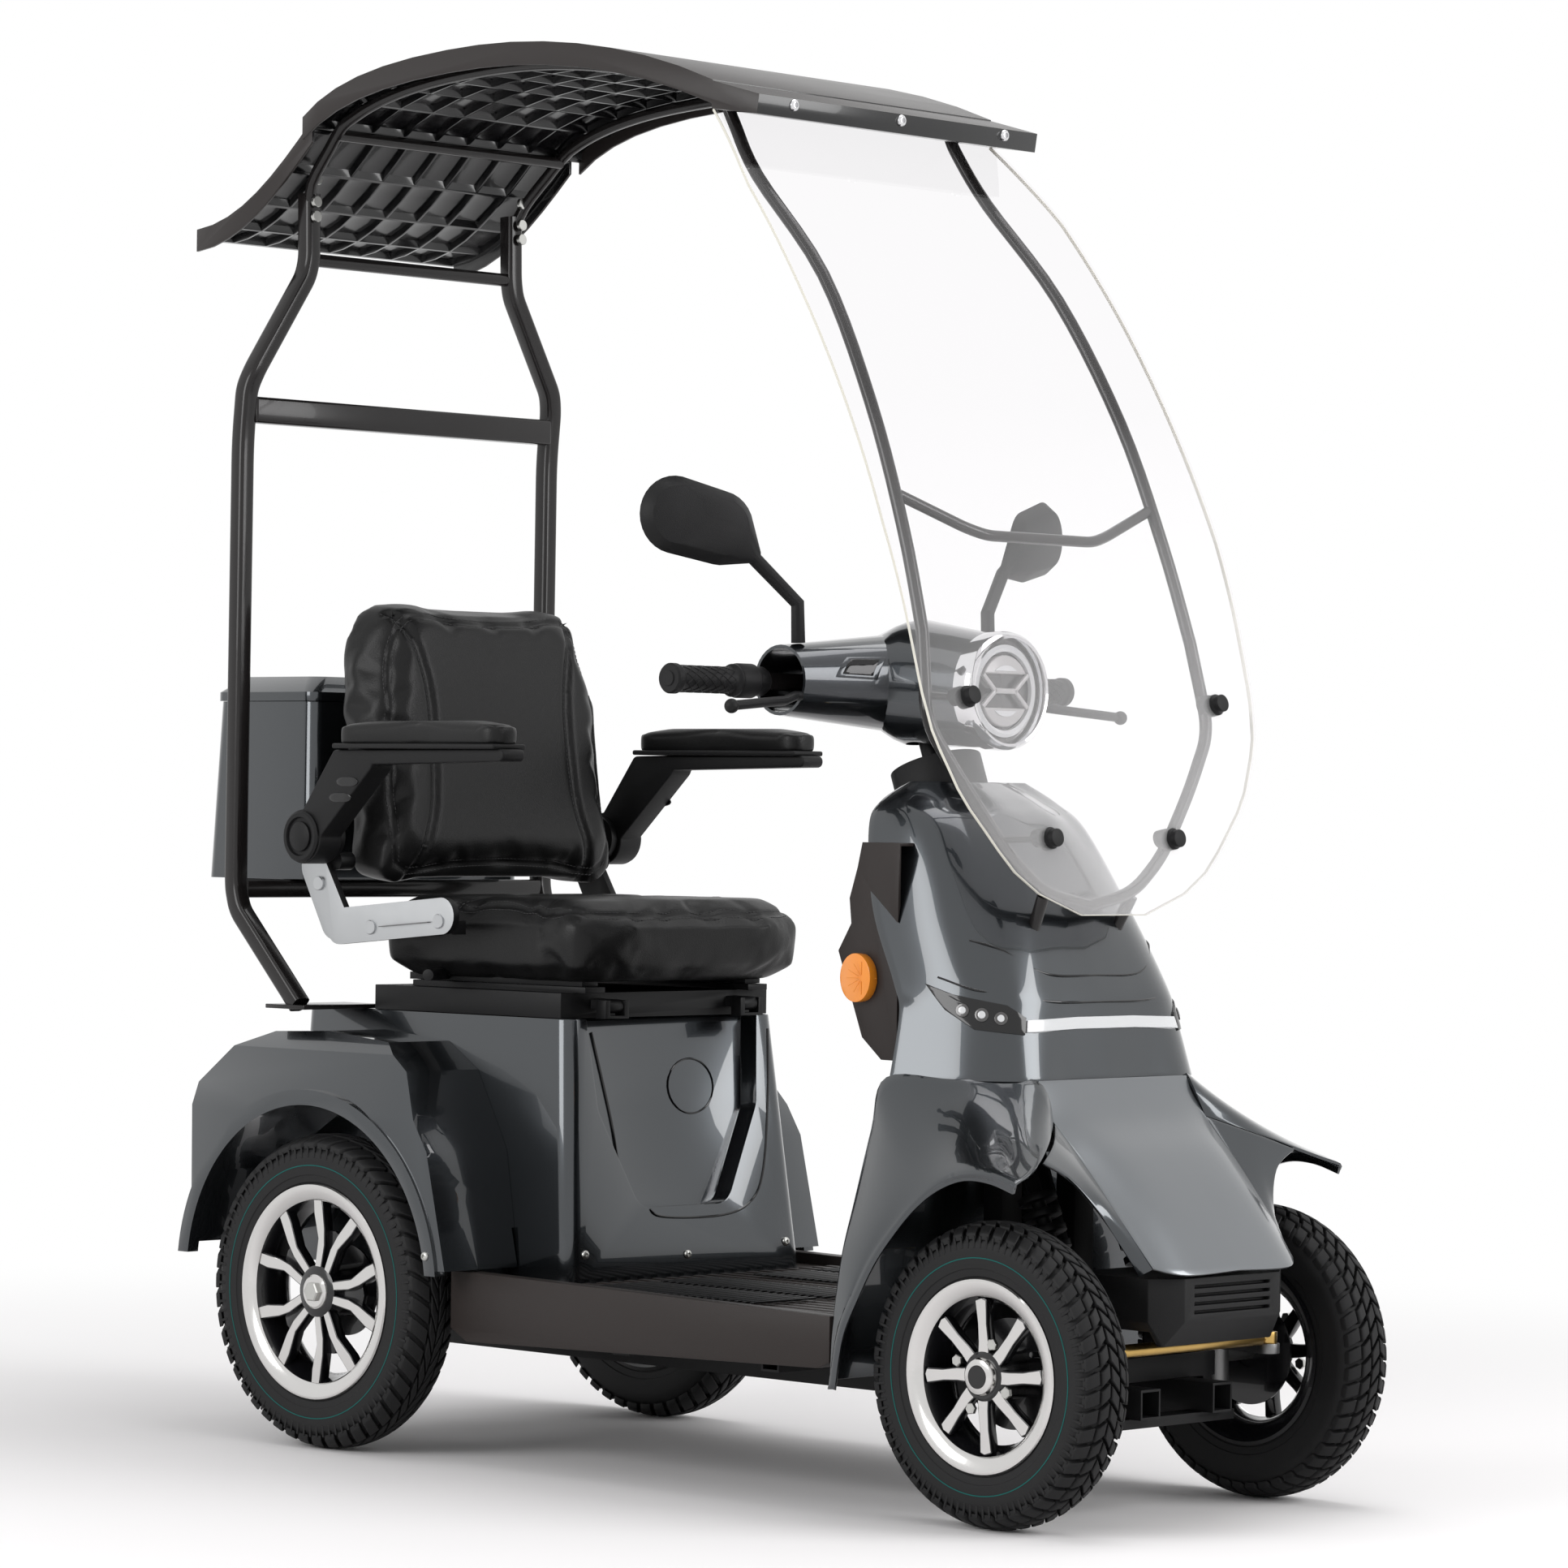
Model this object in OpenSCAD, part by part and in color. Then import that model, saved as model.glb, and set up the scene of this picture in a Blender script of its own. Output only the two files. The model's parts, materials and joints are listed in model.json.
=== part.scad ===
// Four-wheel mobility scooter with a roof and a clear windscreen.
// X points forward, Y to the rider's left, Z up. The origin is on the floor
// under the middle of the machine. Sizes are in millimetres.

/* [Wheels] */
// Distance between the front and rear axles
wheelbase = 1119; // [1100:1:1140]
// Distance between the centres of the rear tyres
rear_track = 602; // [596:1:608]
// Distance between the centres of the front tyres
front_track = 486; // [480:1:492]
// Outer radius of a rear tyre
rear_tyre_r = 206; // [200:1:210]
// Outer radius of a front tyre
front_tyre_r = 182; // [178:1:186]
// Height of a rear tyre's wall above its bead
rear_wall = 79; // [74:1:84]
// Height of a front tyre's wall above its bead
front_wall = 80.4; // [76:0.1:84]
// Width of a tyre at its widest
tyre_w = 76; // [70:1:80]
// Height of a rim flange above the bead
flange_h = 14; // [10:1:16]
// Blades of a front wheel
front_blades = 8; // [5:1:10]
// Pairs of arms of a rear wheel
rear_arm_pairs = 5; // [4:1:6]

/* [Steering] */
// Distance of each kingpin from the centre line
kingpin_y = 155; // [150:1:160]
// Radius of a kingpin
kingpin_r = 9; // [8:0.5:10]
// Radius of a stub axle
axle_r = 10; // [8:0.5:12]
// Reach of the steering arms ahead of the kingpins
steer_arm = 83; // [78:1:88]
// Rearward lean of the steering column in degrees
rake = 20; // [16:1:22]
// Radius of the steering column's neck
column_r = 58; // [54:1:60]
// Half of the width over the handlebar grips
bar_half = 367; // [355:1:375]

/* [Floor and chassis] */
// Height of the footboard's top
floor_z = 238; // [232:1:242]
// Half of the width over the sills
sill_y = 300; // [294:1:304]
// Height of a sill
sill_h = 76; // [68:1:80]
// Side of the square chassis tubes
rail = 36; // [30:1:40]
// Wall of the chassis tubes
rail_wall = 3; // [2:0.5:4]
// Height of the rails' centre line
rail_z = 142; // [138:1:146]
// Distance of each rail from the centre line
rail_y = 67; // [62:1:70]

/* [Body panels] */
// Wall of the moulded panels
skin = 4; // [3:0.5:5]
// Height of the seat pedestal's top
pedestal_z = 571; // [568:1:574]
// Outer half width over the rear arches
rear_arch_y = 345; // [343:1:349]
// Clearance between a rear tyre and its arch
rear_arch_gap = 30; // [24:1:34]
// Outer half width over the front arches
front_arch_y = 301; // [298:1:304]

/* [Seat] */
// Width of the seat cushion
seat_w = 450; // [430:1:460]
// Height of the cushion's underside
seat_z = 630; // [628:1:636]
// Height of the backrest's top
backrest_top = 1134; // [1100:1:1150]
// Distance from the cushion's side to an armrest's bracket
bracket_gap = 37; // [34:1:42]
// Height of the armrest hinge
arm_pivot_z = 800; // [790:1:810]

/* [Roof and screen] */
// Side of the square roof posts
post = 25; // [22:1:28]
// Distance of each post from the centre line
post_y = 281; // [276:1:286]
// Thickness of the roof panels
roof_t = 4; // [3:0.5:5]
// Half width of the roof at its front
roof_y = 258; // [250:1:264]
// Depth of the roof's rim
roof_rim = 30; // [24:1:34]
// Spacing of the roof's ribs
rib_pitch = 58; // [50:1:70]
// Depth of the roof's ribs
rib_depth = 14; // [10:1:18]
// Radius of the screen's frame tube
frame_r = 8; // [7:0.5:9]
// Thickness of the screen
screen_t = 4; // [3:0.5:5]

/* [Hidden] */

$fn = 64;
// Middle of the wheelbase, measured from the origin
mid_x = 109.3;
front_x = mid_x + wheelbase / 2;
rear_x = mid_x - wheelbase / 2;
// Clearance between pieces that seat on each other
fit = 0.3;
// Clearance that a shaft turns in
run = 0.05;
rear_bead_r = rear_tyre_r - rear_wall;
front_bead_r = front_tyre_r - front_wall;
rear_arch_r = rear_tyre_r + rear_arch_gap;
bracket_y = seat_w / 2 + bracket_gap;
arm_y = bracket_y + 15;
graphite = "#3a4045";
satin = "#2b2826";
black = "#17181a";
silver = "#c8cacc";

// A shape drawn as x and z outlines, extruded from y0 to y1
module side_slab(y0, y1) {
    translate([0, y1, 0]) rotate([90, 0, 0]) linear_extrude(y1 - y0) children();
}

// A shape drawn as y and z outlines, extruded from x0 to x1
module front_slab(x0, x1) {
    translate([x0, 0, 0]) rotate([90, 0, 90]) linear_extrude(x1 - x0) children();
}

function round_outline(r) = [for (a = [0:30:330]) [r * cos(a), r * sin(a)]];

// The children on the left, and mirrored on the right
module both_sides() {
    children();
    mirror([0, 1, 0]) children();
}

// A round bar between two points
module bar(a, b, r) {
    d = b - a;
    reach = norm(d);
    tilt = acos(d[2] / reach);
    turn = atan2(d[1], d[0]);
    translate(a) rotate([0, tilt, turn]) cylinder(h = reach, r = r);
}

// A round bar along a row of points
module bent_bar(points, r) {
    sweep(points, round_outline(r));
}

// A box by its two corners
module block(a, b) {
    translate(a) cube(b - a);
}

function unit(v) = v / norm(v);
function corner(points, i) = i == 0 ? unit(points[1] - points[0])
    : i == len(points) - 1 ? unit(points[i] - points[i - 1])
    : unit(unit(points[i] - points[i - 1]) + unit(points[i + 1] - points[i]));

// Points of a ring around a path, with a corner of the outline kept towards Y
function ring(points, i, outline) = let(
    t = corner(points, i),
    u = unit(cross(t, [1, 0, 0])),
    v = cross(t, u)
) [for (p = outline) points[i] + u * p[0] + v * p[1]];

// A closed tube skin swept along a row of points
module sweep(points, outline) {
    n = len(outline);
    m = len(points);
    rings = [for (i = [0:m - 1]) each ring(points, i, outline)];
    sides = [for (i = [0:m - 2], j = [0:n - 1]) let(k = (j + 1) % n) each
        [[i * n + j, (i + 1) * n + k, i * n + k], [i * n + j, (i + 1) * n + j, (i + 1) * n + k]]];
    polyhedron(rings, concat(sides, [[for (j = [0:n - 1]) j]],
        [[for (j = [n - 1:-1:0]) (m - 1) * n + j]]), convexity = 6);
}

// A solid skinned over level sections: each holds z and the plan's half outline from the rear
// centre to the front centre, as x and y pairs
module level_loft(sections) {
    half = len(sections[0][1]);
    n = 2 * half;
    m = len(sections);
    pts = [for (s = sections) each concat([for (p = s[1]) [p[0], -p[1], s[0]]],
        [for (i = [half - 1:-1:0]) [s[1][i][0], s[1][i][1], s[0]]])];
    sides = [for (i = [0:m - 2], j = [0:n - 1]) let(k = (j + 1) % n) each
        [[i * n + j, (i + 1) * n + j, (i + 1) * n + k], [i * n + j, (i + 1) * n + k, i * n + k]]];
    polyhedron(pts, concat(sides, [[for (j = [0:n - 1]) j]],
        [[for (j = [n - 1:-1:0]) (m - 1) * n + j]]), convexity = 6);
}

function grid_normal(rows, i, j) = unit(cross(
    rows[min(i + 1, len(rows) - 1)][j] - rows[max(i - 1, 0)][j],
    rows[i][min(j + 1, len(rows[0]) - 1)] - rows[i][max(j - 1, 0)]));

// A panel of thickness t under a grid of points; rows by columns turn towards its outside
module panel(rows, t) {
    m = len(rows);
    n = len(rows[0]);
    low = m * n;
    pts = concat([for (r = rows) each r],
        [for (i = [0:m - 1], j = [0:n - 1]) rows[i][j] - t * grid_normal(rows, i, j)]);
    cells = [for (i = [0:m - 2], j = [0:n - 2]) let(a = i * n + j, b = a + n) each [
        [a, a + 1, b + 1], [a, b + 1, b],
        [low + a, low + b + 1, low + a + 1], [low + a, low + b, low + b + 1]]];
    ends = [for (j = [0:n - 2]) let(b = (m - 1) * n + j) each [
        [j + 1, j, low + j], [j + 1, low + j, low + j + 1],
        [b, b + 1, low + b + 1], [b, low + b + 1, low + b]]];
    edges = [for (i = [0:m - 2]) let(a = i * n, b = a + n, c = a + n - 1, d = b + n - 1) each [
        [a, b, low + b], [a, low + b, low + a], [d, c, low + c], [d, low + c, low + d]]];
    polyhedron(pts, concat(cells, ends, edges), convexity = 8);
}

// A point of the smooth curve from b to c, with their neighbours a and d
function spline(a, b, c, d, t) = (b * 2 + (c - a) * t + (a * 2 - b * 5 + c * 4 - d) * t * t
    + (b * 3 - a - c * 3 + d) * t * t * t) / 2;

// A path with a point of the smooth curve added between each two
function eased(p) = let(m = len(p) - 1) concat([for (i = [0:m - 1], t = [0, 0.5])
    spline(p[max(i - 1, 0)], p[i], p[i + 1], p[min(i + 2, m)], t)], [p[m]]);

// Five points on a curve from a to b that passes m halfway
function through(a, m, b) = let(c = m * 2 - (a + b) / 2)
    [for (t = [0:0.25:1]) a * (1 - t) * (1 - t) + c * 2 * t * (1 - t) + b * t * t];

function bezier(a, b, c, d, n) = [for (i = [0:n]) let(t = i / n, s = 1 - t)
    a * s * s * s + b * 3 * s * s * t + c * 3 * s * t * t + d * t * t * t];

// Wheels

// A tyre's section: a rounded tread and walls over a flat bead
function tyre_outline(bead, outer) = let(h = (outer - bead) / 2, c = bead + h) concat(
    [for (a = [-62:15.5:242]) [c + h * sign(sin(a)) * pow(abs(sin(a)), 0.8),
        tyre_w / 2 * sign(cos(a)) * pow(abs(cos(a)), 0.55)]]);

module tyre(bead, outer) {
    color(black) rotate([90, 0, 0]) difference() {
        rotate_extrude($fn = 72) polygon(tyre_outline(bead, outer));
        cylinder(h = tyre_w * 2, r = bead + flange_h + fit, center = true, $fn = 72);
    }
}

// The rim's barrel, with a lip at each edge and a drop centre
module barrel(bead) {
    lip = tyre_w / 2;
    rotate_extrude($fn = 72) polygon([[bead + flange_h, -lip], [bead + flange_h, -lip + 5],
        [bead, -lip + 9], [bead - 12, -10], [bead - 12, 10], [bead, lip - 9],
        [bead + flange_h, lip - 5], [bead + flange_h, lip], [bead + flange_h - 6, lip],
        [bead - 6, lip - 8], [bead - 18, 12], [bead - 18, -12], [bead - 6, -lip + 8],
        [bead + flange_h - 6, -lip]]);
}

module front_wheel_face() {
    for (i = [0:front_blades - 1]) rotate(i * 360 / front_blades)
        translate([0, 0, 16]) linear_extrude(12)
            polygon([[24, -10], [24, 10], [60, 11], [front_bead_r - 13, 17],
                [front_bead_r - 13, -3], [62, -4]]);
}

module rear_wheel_face() {
    for (i = [0:rear_arm_pairs - 1], s = [-1, 1]) rotate(i * 360 / rear_arm_pairs)
        mirror([0, (1 - s) / 2, 0]) translate([0, 0, 14]) linear_extrude(14)
            polygon([[26, 1], [26, 15], [70, 24], [rear_bead_r - 13, 50],
                [rear_bead_r - 9, 32], [76, 10]]);
}

// A wheel with its face towards +Y; blades of the pattern sit under the outer lip
module rim(bead, hub_r, front) {
    rotate([-90, 0, 0]) difference() {
        union() {
            barrel(bead);
            if (front) front_wheel_face();
            else rear_wheel_face();
            translate([0, 0, -22]) cylinder(h = 50, r = hub_r);
            translate([0, 0, 28]) cylinder(h = 12, r1 = 24, r2 = 21);
            translate([0, 0, -24]) cylinder(h = 3, r = front ? 66 : 60);
            translate([0, 0, -24]) cylinder(h = 10, r = 30);
            if (front) for (a = [45:90:315]) rotate(a) translate([42, 0, 26])
                cylinder(h = 8, r = 9);
        }
        translate([0, 0, -40]) cylinder(h = 66, r = axle_r + run);
    }
}

module wheel_at(x, y, z) {
    translate([x, y, z]) mirror([0, y < 0 ? 1 : 0, 0]) children();
}

module front_left_rim() color(silver)
    wheel_at(front_x, front_track / 2, front_tyre_r) rim(front_bead_r, 30, true);
module front_right_rim() color(silver)
    wheel_at(front_x, -front_track / 2, front_tyre_r) rim(front_bead_r, 30, true);
module rear_left_rim() color(silver)
    wheel_at(rear_x, rear_track / 2, rear_tyre_r) rim(rear_bead_r, 34, false);
module rear_right_rim() color(silver)
    wheel_at(rear_x, -rear_track / 2, rear_tyre_r) rim(rear_bead_r, 34, false);
module front_left_tyre()
    wheel_at(front_x, front_track / 2, front_tyre_r) tyre(front_bead_r, front_tyre_r);
module front_right_tyre()
    wheel_at(front_x, -front_track / 2, front_tyre_r) tyre(front_bead_r, front_tyre_r);
module rear_left_tyre()
    wheel_at(rear_x, rear_track / 2, rear_tyre_r) tyre(rear_bead_r, rear_tyre_r);
module rear_right_tyre()
    wheel_at(rear_x, -rear_track / 2, rear_tyre_r) tyre(rear_bead_r, rear_tyre_r);

// Chassis

// A square tube between two x stations, open at both ends
module rail_tube(x0, x1, y, z) {
    difference() {
        block([x0, y - rail / 2, z - rail / 2], [x1, y + rail / 2, z + rail / 2]);
        block([x0 - 1, y - rail / 2 + rail_wall, z - rail / 2 + rail_wall],
            [x1 + 1, y + rail / 2 - rail_wall, z + rail / 2 - rail_wall]);
    }
}

// A box tube across the rails, open at both ends
module cross_tube(x, y) {
    low = rail_z + rail / 2;
    high = floor_z - 14;
    difference() {
        block([x, -y, low], [x + 30, y, high]);
        block([x + rail_wall, -y - 1, low + rail_wall], [x + 30 - rail_wall, y + 1, high - rail_wall]);
    }
}

rail_back = rear_x - 80;
rail_front = front_x + 85;
module main_frame() color(black) {
    difference() {
        union() {
            for (s = [-1, 1]) rail_tube(rail_back, rail_front, s * rail_y, rail_z);
            for (x = [rear_x + 250, mid_x - 60, mid_x + 200]) cross_tube(x, sill_y - 24);
            block([front_x + 38, -110, rail_z - rail / 2 - 12], [front_x + 68, 110, rail_z - rail / 2]);
        }
        for (s = [-1, 1]) translate([front_x + 53, s * rail_y, 0]) cylinder(h = 130, r = 5.2);
    }
    // Rear hoop under the seat, with a lug each side for the springs
    for (s = [-1, 1]) block([rail_back, s * 120 - 12, floor_z + 10],
        [rail_back + 30, s * 120 + 12, pedestal_z - 30]);
    block([rail_back, -132, rail_z + rail / 2], [rail_back + 30, 132, floor_z + 10]);
    block([rail_back, -132, pedestal_z - 30], [rail_back + 30, 132, pedestal_z - skin - fit]);
    both_sides() block([rail_back, 108, rear_spring_top + fit], [rear_x + 26, 188, rear_spring_top + 12]);
    // Front hoop with the column's bearing plate, over the front springs
    both_sides() block([hoop_x, rail_y - 18, rail_z + rail / 2], [hoop_x + 30, rail_y + 18, hoop_z]);
    difference() {
        block([hoop_x - 26, -100, hoop_z], [front_x - 96, 100, hoop_z + 12]);
        on_column(-600) cylinder(h = 200, r = stem_r + run);
    }
}

rear_spring_top = 470;
hoop_x = front_x - 170;
hoop_z = 433.2;

// Axle beam with a forked lug at each end that holds the kingpin
lug_low = front_tyre_r - 42;
lug_high = front_tyre_r + 30;
module front_axle() color(black) {
    difference() {
        union() {
            block([front_x - 20, -kingpin_y + 24, rail_z + rail / 2],
                [front_x + 20, kingpin_y - 24, rail_z + rail / 2 + 30]);
            both_sides() for (z = [lug_low - 12, lug_high]) {
                translate([front_x, kingpin_y, z]) cylinder(h = 12, r = 20);
                block([front_x - 20, kingpin_y - 44, z], [front_x + 20, kingpin_y, z + 12]);
            }
            both_sides() block([front_x - 20, kingpin_y - 46, lug_low - 12],
                [front_x + 20, kingpin_y - 30, lug_high + 12]);
        }
        both_sides() translate([front_x, kingpin_y, 0]) cylinder(h = 300, r = kingpin_r - 2);
    }
}

module knuckle() {
    difference() {
        union() {
            translate([front_x, kingpin_y, lug_low + 0.5])
                cylinder(h = lug_high - lug_low - 1, r = 17);
            block([front_x, kingpin_y - 10, front_tyre_r + 8],
                [front_x + steer_arm, kingpin_y + 10, front_tyre_r + 20]);
            translate([front_x + steer_arm, kingpin_y, front_tyre_r + 8]) cylinder(h = 12, r = 14);
        }
    }
    translate([front_x, kingpin_y, front_tyre_r]) rotate([-90, 0, 0])
        cylinder(h = front_track / 2 - kingpin_y + 20, r = axle_r);
    translate([front_x, kingpin_y, lug_low - 12])
        cylinder(h = lug_high - lug_low + 24, r = kingpin_r - 2 - run);
}

module left_knuckle() color(silver) knuckle();
module right_knuckle() color(silver) mirror([0, 1, 0]) knuckle();

rod_z = front_tyre_r + 20 + fit;
module tie_rod() color("#b08d4a") {
    rod_x = front_x + steer_arm;
    bar([rod_x, -kingpin_y + 16, rod_z + 6], [rod_x, kingpin_y - 16, rod_z + 6], 8);
    for (s = [-1, 1]) translate([rod_x, s * kingpin_y, rod_z]) cylinder(h = 14, r = 11);
    for (s = [-1, 1]) bar([rod_x, s * kingpin_y, rod_z + 6], [rod_x, s * (kingpin_y - 20), rod_z + 6], 5);
}

module drive_unit() color(black) {
    translate([rear_x, 0, rear_tyre_r]) rotate([90, 0, 0]) {
        cylinder(h = 2 * (rear_track / 2 - 60), r = 24, center = true);
        cylinder(h = 2 * (rear_track / 2 + 20), r = axle_r, center = true);
    }
    translate([rear_x, 60, rear_tyre_r]) rotate([90, 0, 0]) cylinder(h = 110, r = 44);
    translate([rear_x + 90, 170, rear_tyre_r]) rotate([90, 0, 0]) cylinder(h = 180, r = 44);
    block([rear_x, -40, rear_tyre_r - 40], [rear_x + 100, -10, rear_tyre_r + 40]);
    both_sides() block([rear_x - 30, rail_y - 14, rail_z + rail / 2],
        [rear_x + 30, rail_y + 14, rear_tyre_r - 18]);
}

// A coil over damper between two points, with its coils as collars
module spring(a, b) {
    bar(a, b, 9);
    d = b - a;
    for (i = [1:7]) {
        p = a + d * (0.2 + 0.08 * i);
        bar(p, p + d * 0.035, 24);
    }
}

module spring_units() color(black) {
    both_sides() spring([front_x - 8, 80, rail_z + rail / 2 + 34], [front_x - 110, 80, hoop_z - 3.8]);
    both_sides() spring([rear_x, 165, rear_tyre_r + 24 + fit], [rear_x, 165, rear_spring_top]);
}

// Floor

module floor_pan() color(satin) {
    x0 = mid_x - 334;
    x1 = mid_x + 337 - fit;
    outline = [[x0, floor_z + 10], [x0, floor_z - sill_h + 12], [x0 + 30, floor_z - sill_h - 4],
        [x1 - 20, floor_z - sill_h + 12], [x1, floor_z - sill_h + 20], [x1, floor_z]];
    both_sides() side_slab(sill_y - 22, sill_y) polygon(outline);
    block([x0, -sill_y + 22, floor_z - 14], [x1, sill_y - 22, floor_z - 6]);
    pad_x = mid_x - 190;
    for (y = [-250:25:250]) block([pad_x, y - 6, floor_z - 6], [x1 - 16, y + 6, floor_z - 2]);
}

// Rear body

module rear_side_outline(g) {
    offset(delta = -g) polygon([[rear_x - 238, 242], [rear_x - 240, 470], [rear_x - 190, 520],
        [rear_x - 130, 541], [rear_x - 26, 545], [rear_x + 100, 535], [rear_x + 160, 500],
        [rear_x + 225, 400], [rear_x + 262, 250]]);
}

module rear_front_outline(g) {
    offset(delta = -g) polygon([[-rear_arch_y, 230], [-rear_arch_y, 440], [-rear_arch_y + 30, 520],
        [-rear_arch_y + 70, 560], [rear_arch_y - 70, 560], [rear_arch_y - 30, 520],
        [rear_arch_y, 440], [rear_arch_y, 230]]);
}

module fender_volume(g) {
    intersection() {
        side_slab(-rear_arch_y, rear_arch_y) rear_side_outline(g);
        front_slab(rear_x - 260, rear_x + 280) rear_front_outline(g);
    }
}

module rear_arch_disc(r, y0, y1) translate([rear_x - 6, y1, rear_tyre_r + 8]) rotate([90, 0, 0])
    cylinder(h = y1 - y0, r = r);

pedestal_side_y = 217;
module rear_fenders() color(graphite) difference() {
    union() {
        fender_volume(0);
        // Flange round each arch
        both_sides() rear_arch_disc(rear_arch_r + 20, rear_arch_y - 14, rear_arch_y + 4);
    }
    difference() {
        fender_volume(skin);
        both_sides() rear_arch_disc(rear_arch_r + skin, 180, rear_arch_y + 10);
    }
    block([rear_x - 300, -rear_arch_y - 10, -100], [rear_x + 300, rear_arch_y + 10, rear_tyre_r + 37]);
    both_sides() rear_arch_disc(rear_arch_r, 180 + skin, rear_arch_y + 10);
    pedestal_volume(-fit);
    block([rear_x - 120, -pedestal_side_y - fit, 0], [rear_x + 400, pedestal_side_y + fit, 300]);
}

pedestal_back = rear_x - 190;
pedestal_front = mid_x - 222;
module pedestal_volume(g) {
    hull() {
        translate([0, 0, floor_z - 8 - g]) linear_extrude(1) offset(r = 20 - g, $fn = 32)
            polygon([[pedestal_back + 20, -196], [pedestal_front, -pedestal_side_y + 20],
                [pedestal_front, pedestal_side_y - 20], [pedestal_back + 20, 196]]);
        translate([0, 0, pedestal_z - 1 - g]) linear_extrude(1) offset(r = 20 - g, $fn = 32)
            polygon([[pedestal_back + 20, -170], [pedestal_front - 36, -171],
                [pedestal_front - 36, 171], [pedestal_back + 20, 170]]);
    }
}

scoop_depth = 9;
// Recess in the pedestal's front, grown by g
module scoop(g) translate([pedestal_front, 0, floor_z - 8]) rotate([0, -6.1, 0])
    translate([-scoop_depth - g, 0, 0]) rotate([90, 0, 90]) linear_extrude(100)
    offset(r = 30 + g, $fn = 32) polygon([[-132, 400], [-116, 230], [-62, 124], [62, 124],
        [116, 230], [132, 400]]);

module seat_pedestal() color(graphite) difference() {
    pedestal_volume(0);
    scoop(0);
    difference() {
        pedestal_volume(skin);
        scoop(skin);
    }
    block([pedestal_back - 30, -300, 0], [pedestal_front + 40, 300, floor_z - 6 + fit]);
    // Opening over the battery room
    block([pedestal_back + 60, -120, pedestal_z - 30], [pedestal_front - 80, 120, pedestal_z + 10]);
}

module tail_lights() color("#c02030") both_sides()
    translate([rear_x - 240 - 4, rear_arch_y - 110, 400]) cube([4 - fit, 70, 60]);

// Front body

shield_sections = [
    [523, [[362, 0], [362, 228], [450, 205], [519, 138], [519, 0]]],
    [600, [[358, 0], [358, 208], [430, 190], [500, 130], [505, 0]]],
    [637, [[336, 0], [336, 195], [420, 186], [490, 120], [496, 0]]],
    [725, [[284, 0], [284, 178], [375, 170], [446, 104], [456, 0]]],
    [823, [[251, 0], [251, 152], [330, 148], [382, 85], [396, 0]]],
    [857, [[250, 0], [250, 130], [300, 132], [340, 70], [356, 0]]],
    [882, [[262, 0], [262, 90], [285, 92], [300, 50], [308, 0]]]];

// The plan of a section, moved in by g and to the shield's place
function inset(s, g) = [s[0], [for (i = [0:4]) let(p = s[1][i])
    [p[0] + mid_x + (i < 2 ? g : -g), i == 0 || i == 4 ? 0 : p[1] - g]]];

// The open back of a section, which the inner cover closes
function opening(s) = [s[0] - (s[0] < 530 ? 10 : 0), [for (i = [0:4]) let(p = s[1][i])
    [p[0] + mid_x + (i < 2 ? -30 : i == 2 ? -20 : -60), i == 0 || i == 4 ? 0 : p[1] - 24]]];

// A plan with its side and front rounded, and the rear edge kept
function rounded(p) = concat([p[0]], [for (i = [1:3], t = [0, 0.25, 0.5, 0.75])
    spline(i == 1 ? p[1] * 2 - p[2] : p[i - 1], p[i], p[i + 1],
        i == 3 ? [p[3][0], -p[3][1]] : p[i + 2], t)], [p[4]]);

// A solid over sections, with one more section between each two
module shield_loft(sections) {
    m = len(sections);
    all = [for (i = [0:m - 2], t = [0, 0.5]) let(a = sections[max(i - 1, 0)], b = sections[i],
        c = sections[i + 1], d = sections[min(i + 2, m - 1)])
        [b[0] + (c[0] - b[0]) * t, [for (k = [0:4]) spline(a[1][k], b[1][k], c[1][k], d[1][k], t)]]];
    level_loft([for (s = concat(all, [sections[m - 1]])) [s[0], rounded(s[1])]]);
}

module leg_shield() color(graphite) difference() {
    shield_loft([for (s = shield_sections) inset(s, 0)]);
    translate([0, 0, -skin]) shield_loft([for (s = shield_sections) inset(s, skin)]);
    shield_loft([for (s = shield_sections) if (s[0] < 850) opening(s)]);
    on_column(-100) cylinder(h = 200, r = column_r + fit);
}

// Rows of the wing over a front wheel: inner edge, middle, and x and z of the lip
wing_rows = [
    [[341, 299, 152], [344, 300, 152], [350, 152]],
    [[341, 296, 215], [352, 299, 215], [362, 215]],
    [[345, 293, 270], [366, 299, 266], [386, 263]],
    [[350, 288, 320], [380, 297, 313], [412, 306]],
    [[355, 275, 375], [398, 293, 360], [444, 344]],
    [[358, 250, 461], [415, 281, 420], [476, 375]],
    [[361, 229, 522.4], [436, 266, 456], [512, 399]],
    [[450, 205, 522.4], [489, 235, 480], [553, 413]],
    [[519, 140, 522.4], [556, 224, 464], [594, 412]],
    [[548, 143, 474], [613, 236, 434], [631, 402]]];
lip_h = 11;
// Axle's place in the rows' frame
function lip(p, h, y) = let(c = [wheelbase / 2, front_tyre_r], e = p + unit(p - c) * h) [e[0], y, e[1]];
function wing_row(r) = [for (p = concat(through(r[0], r[1], lip(r[2], lip_h, front_arch_y - 1)),
    [lip(r[2], 0, front_arch_y)])) p + [mid_x, 0, 0]];

module front_fenders() color(graphite) {
    both_sides() panel([for (r = wing_rows) wing_row(r)], skin);
    difference() {
        foot_wall();
        on_column(-520) cylinder(h = 200, r = stem_hole_r);
    }
}

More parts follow.
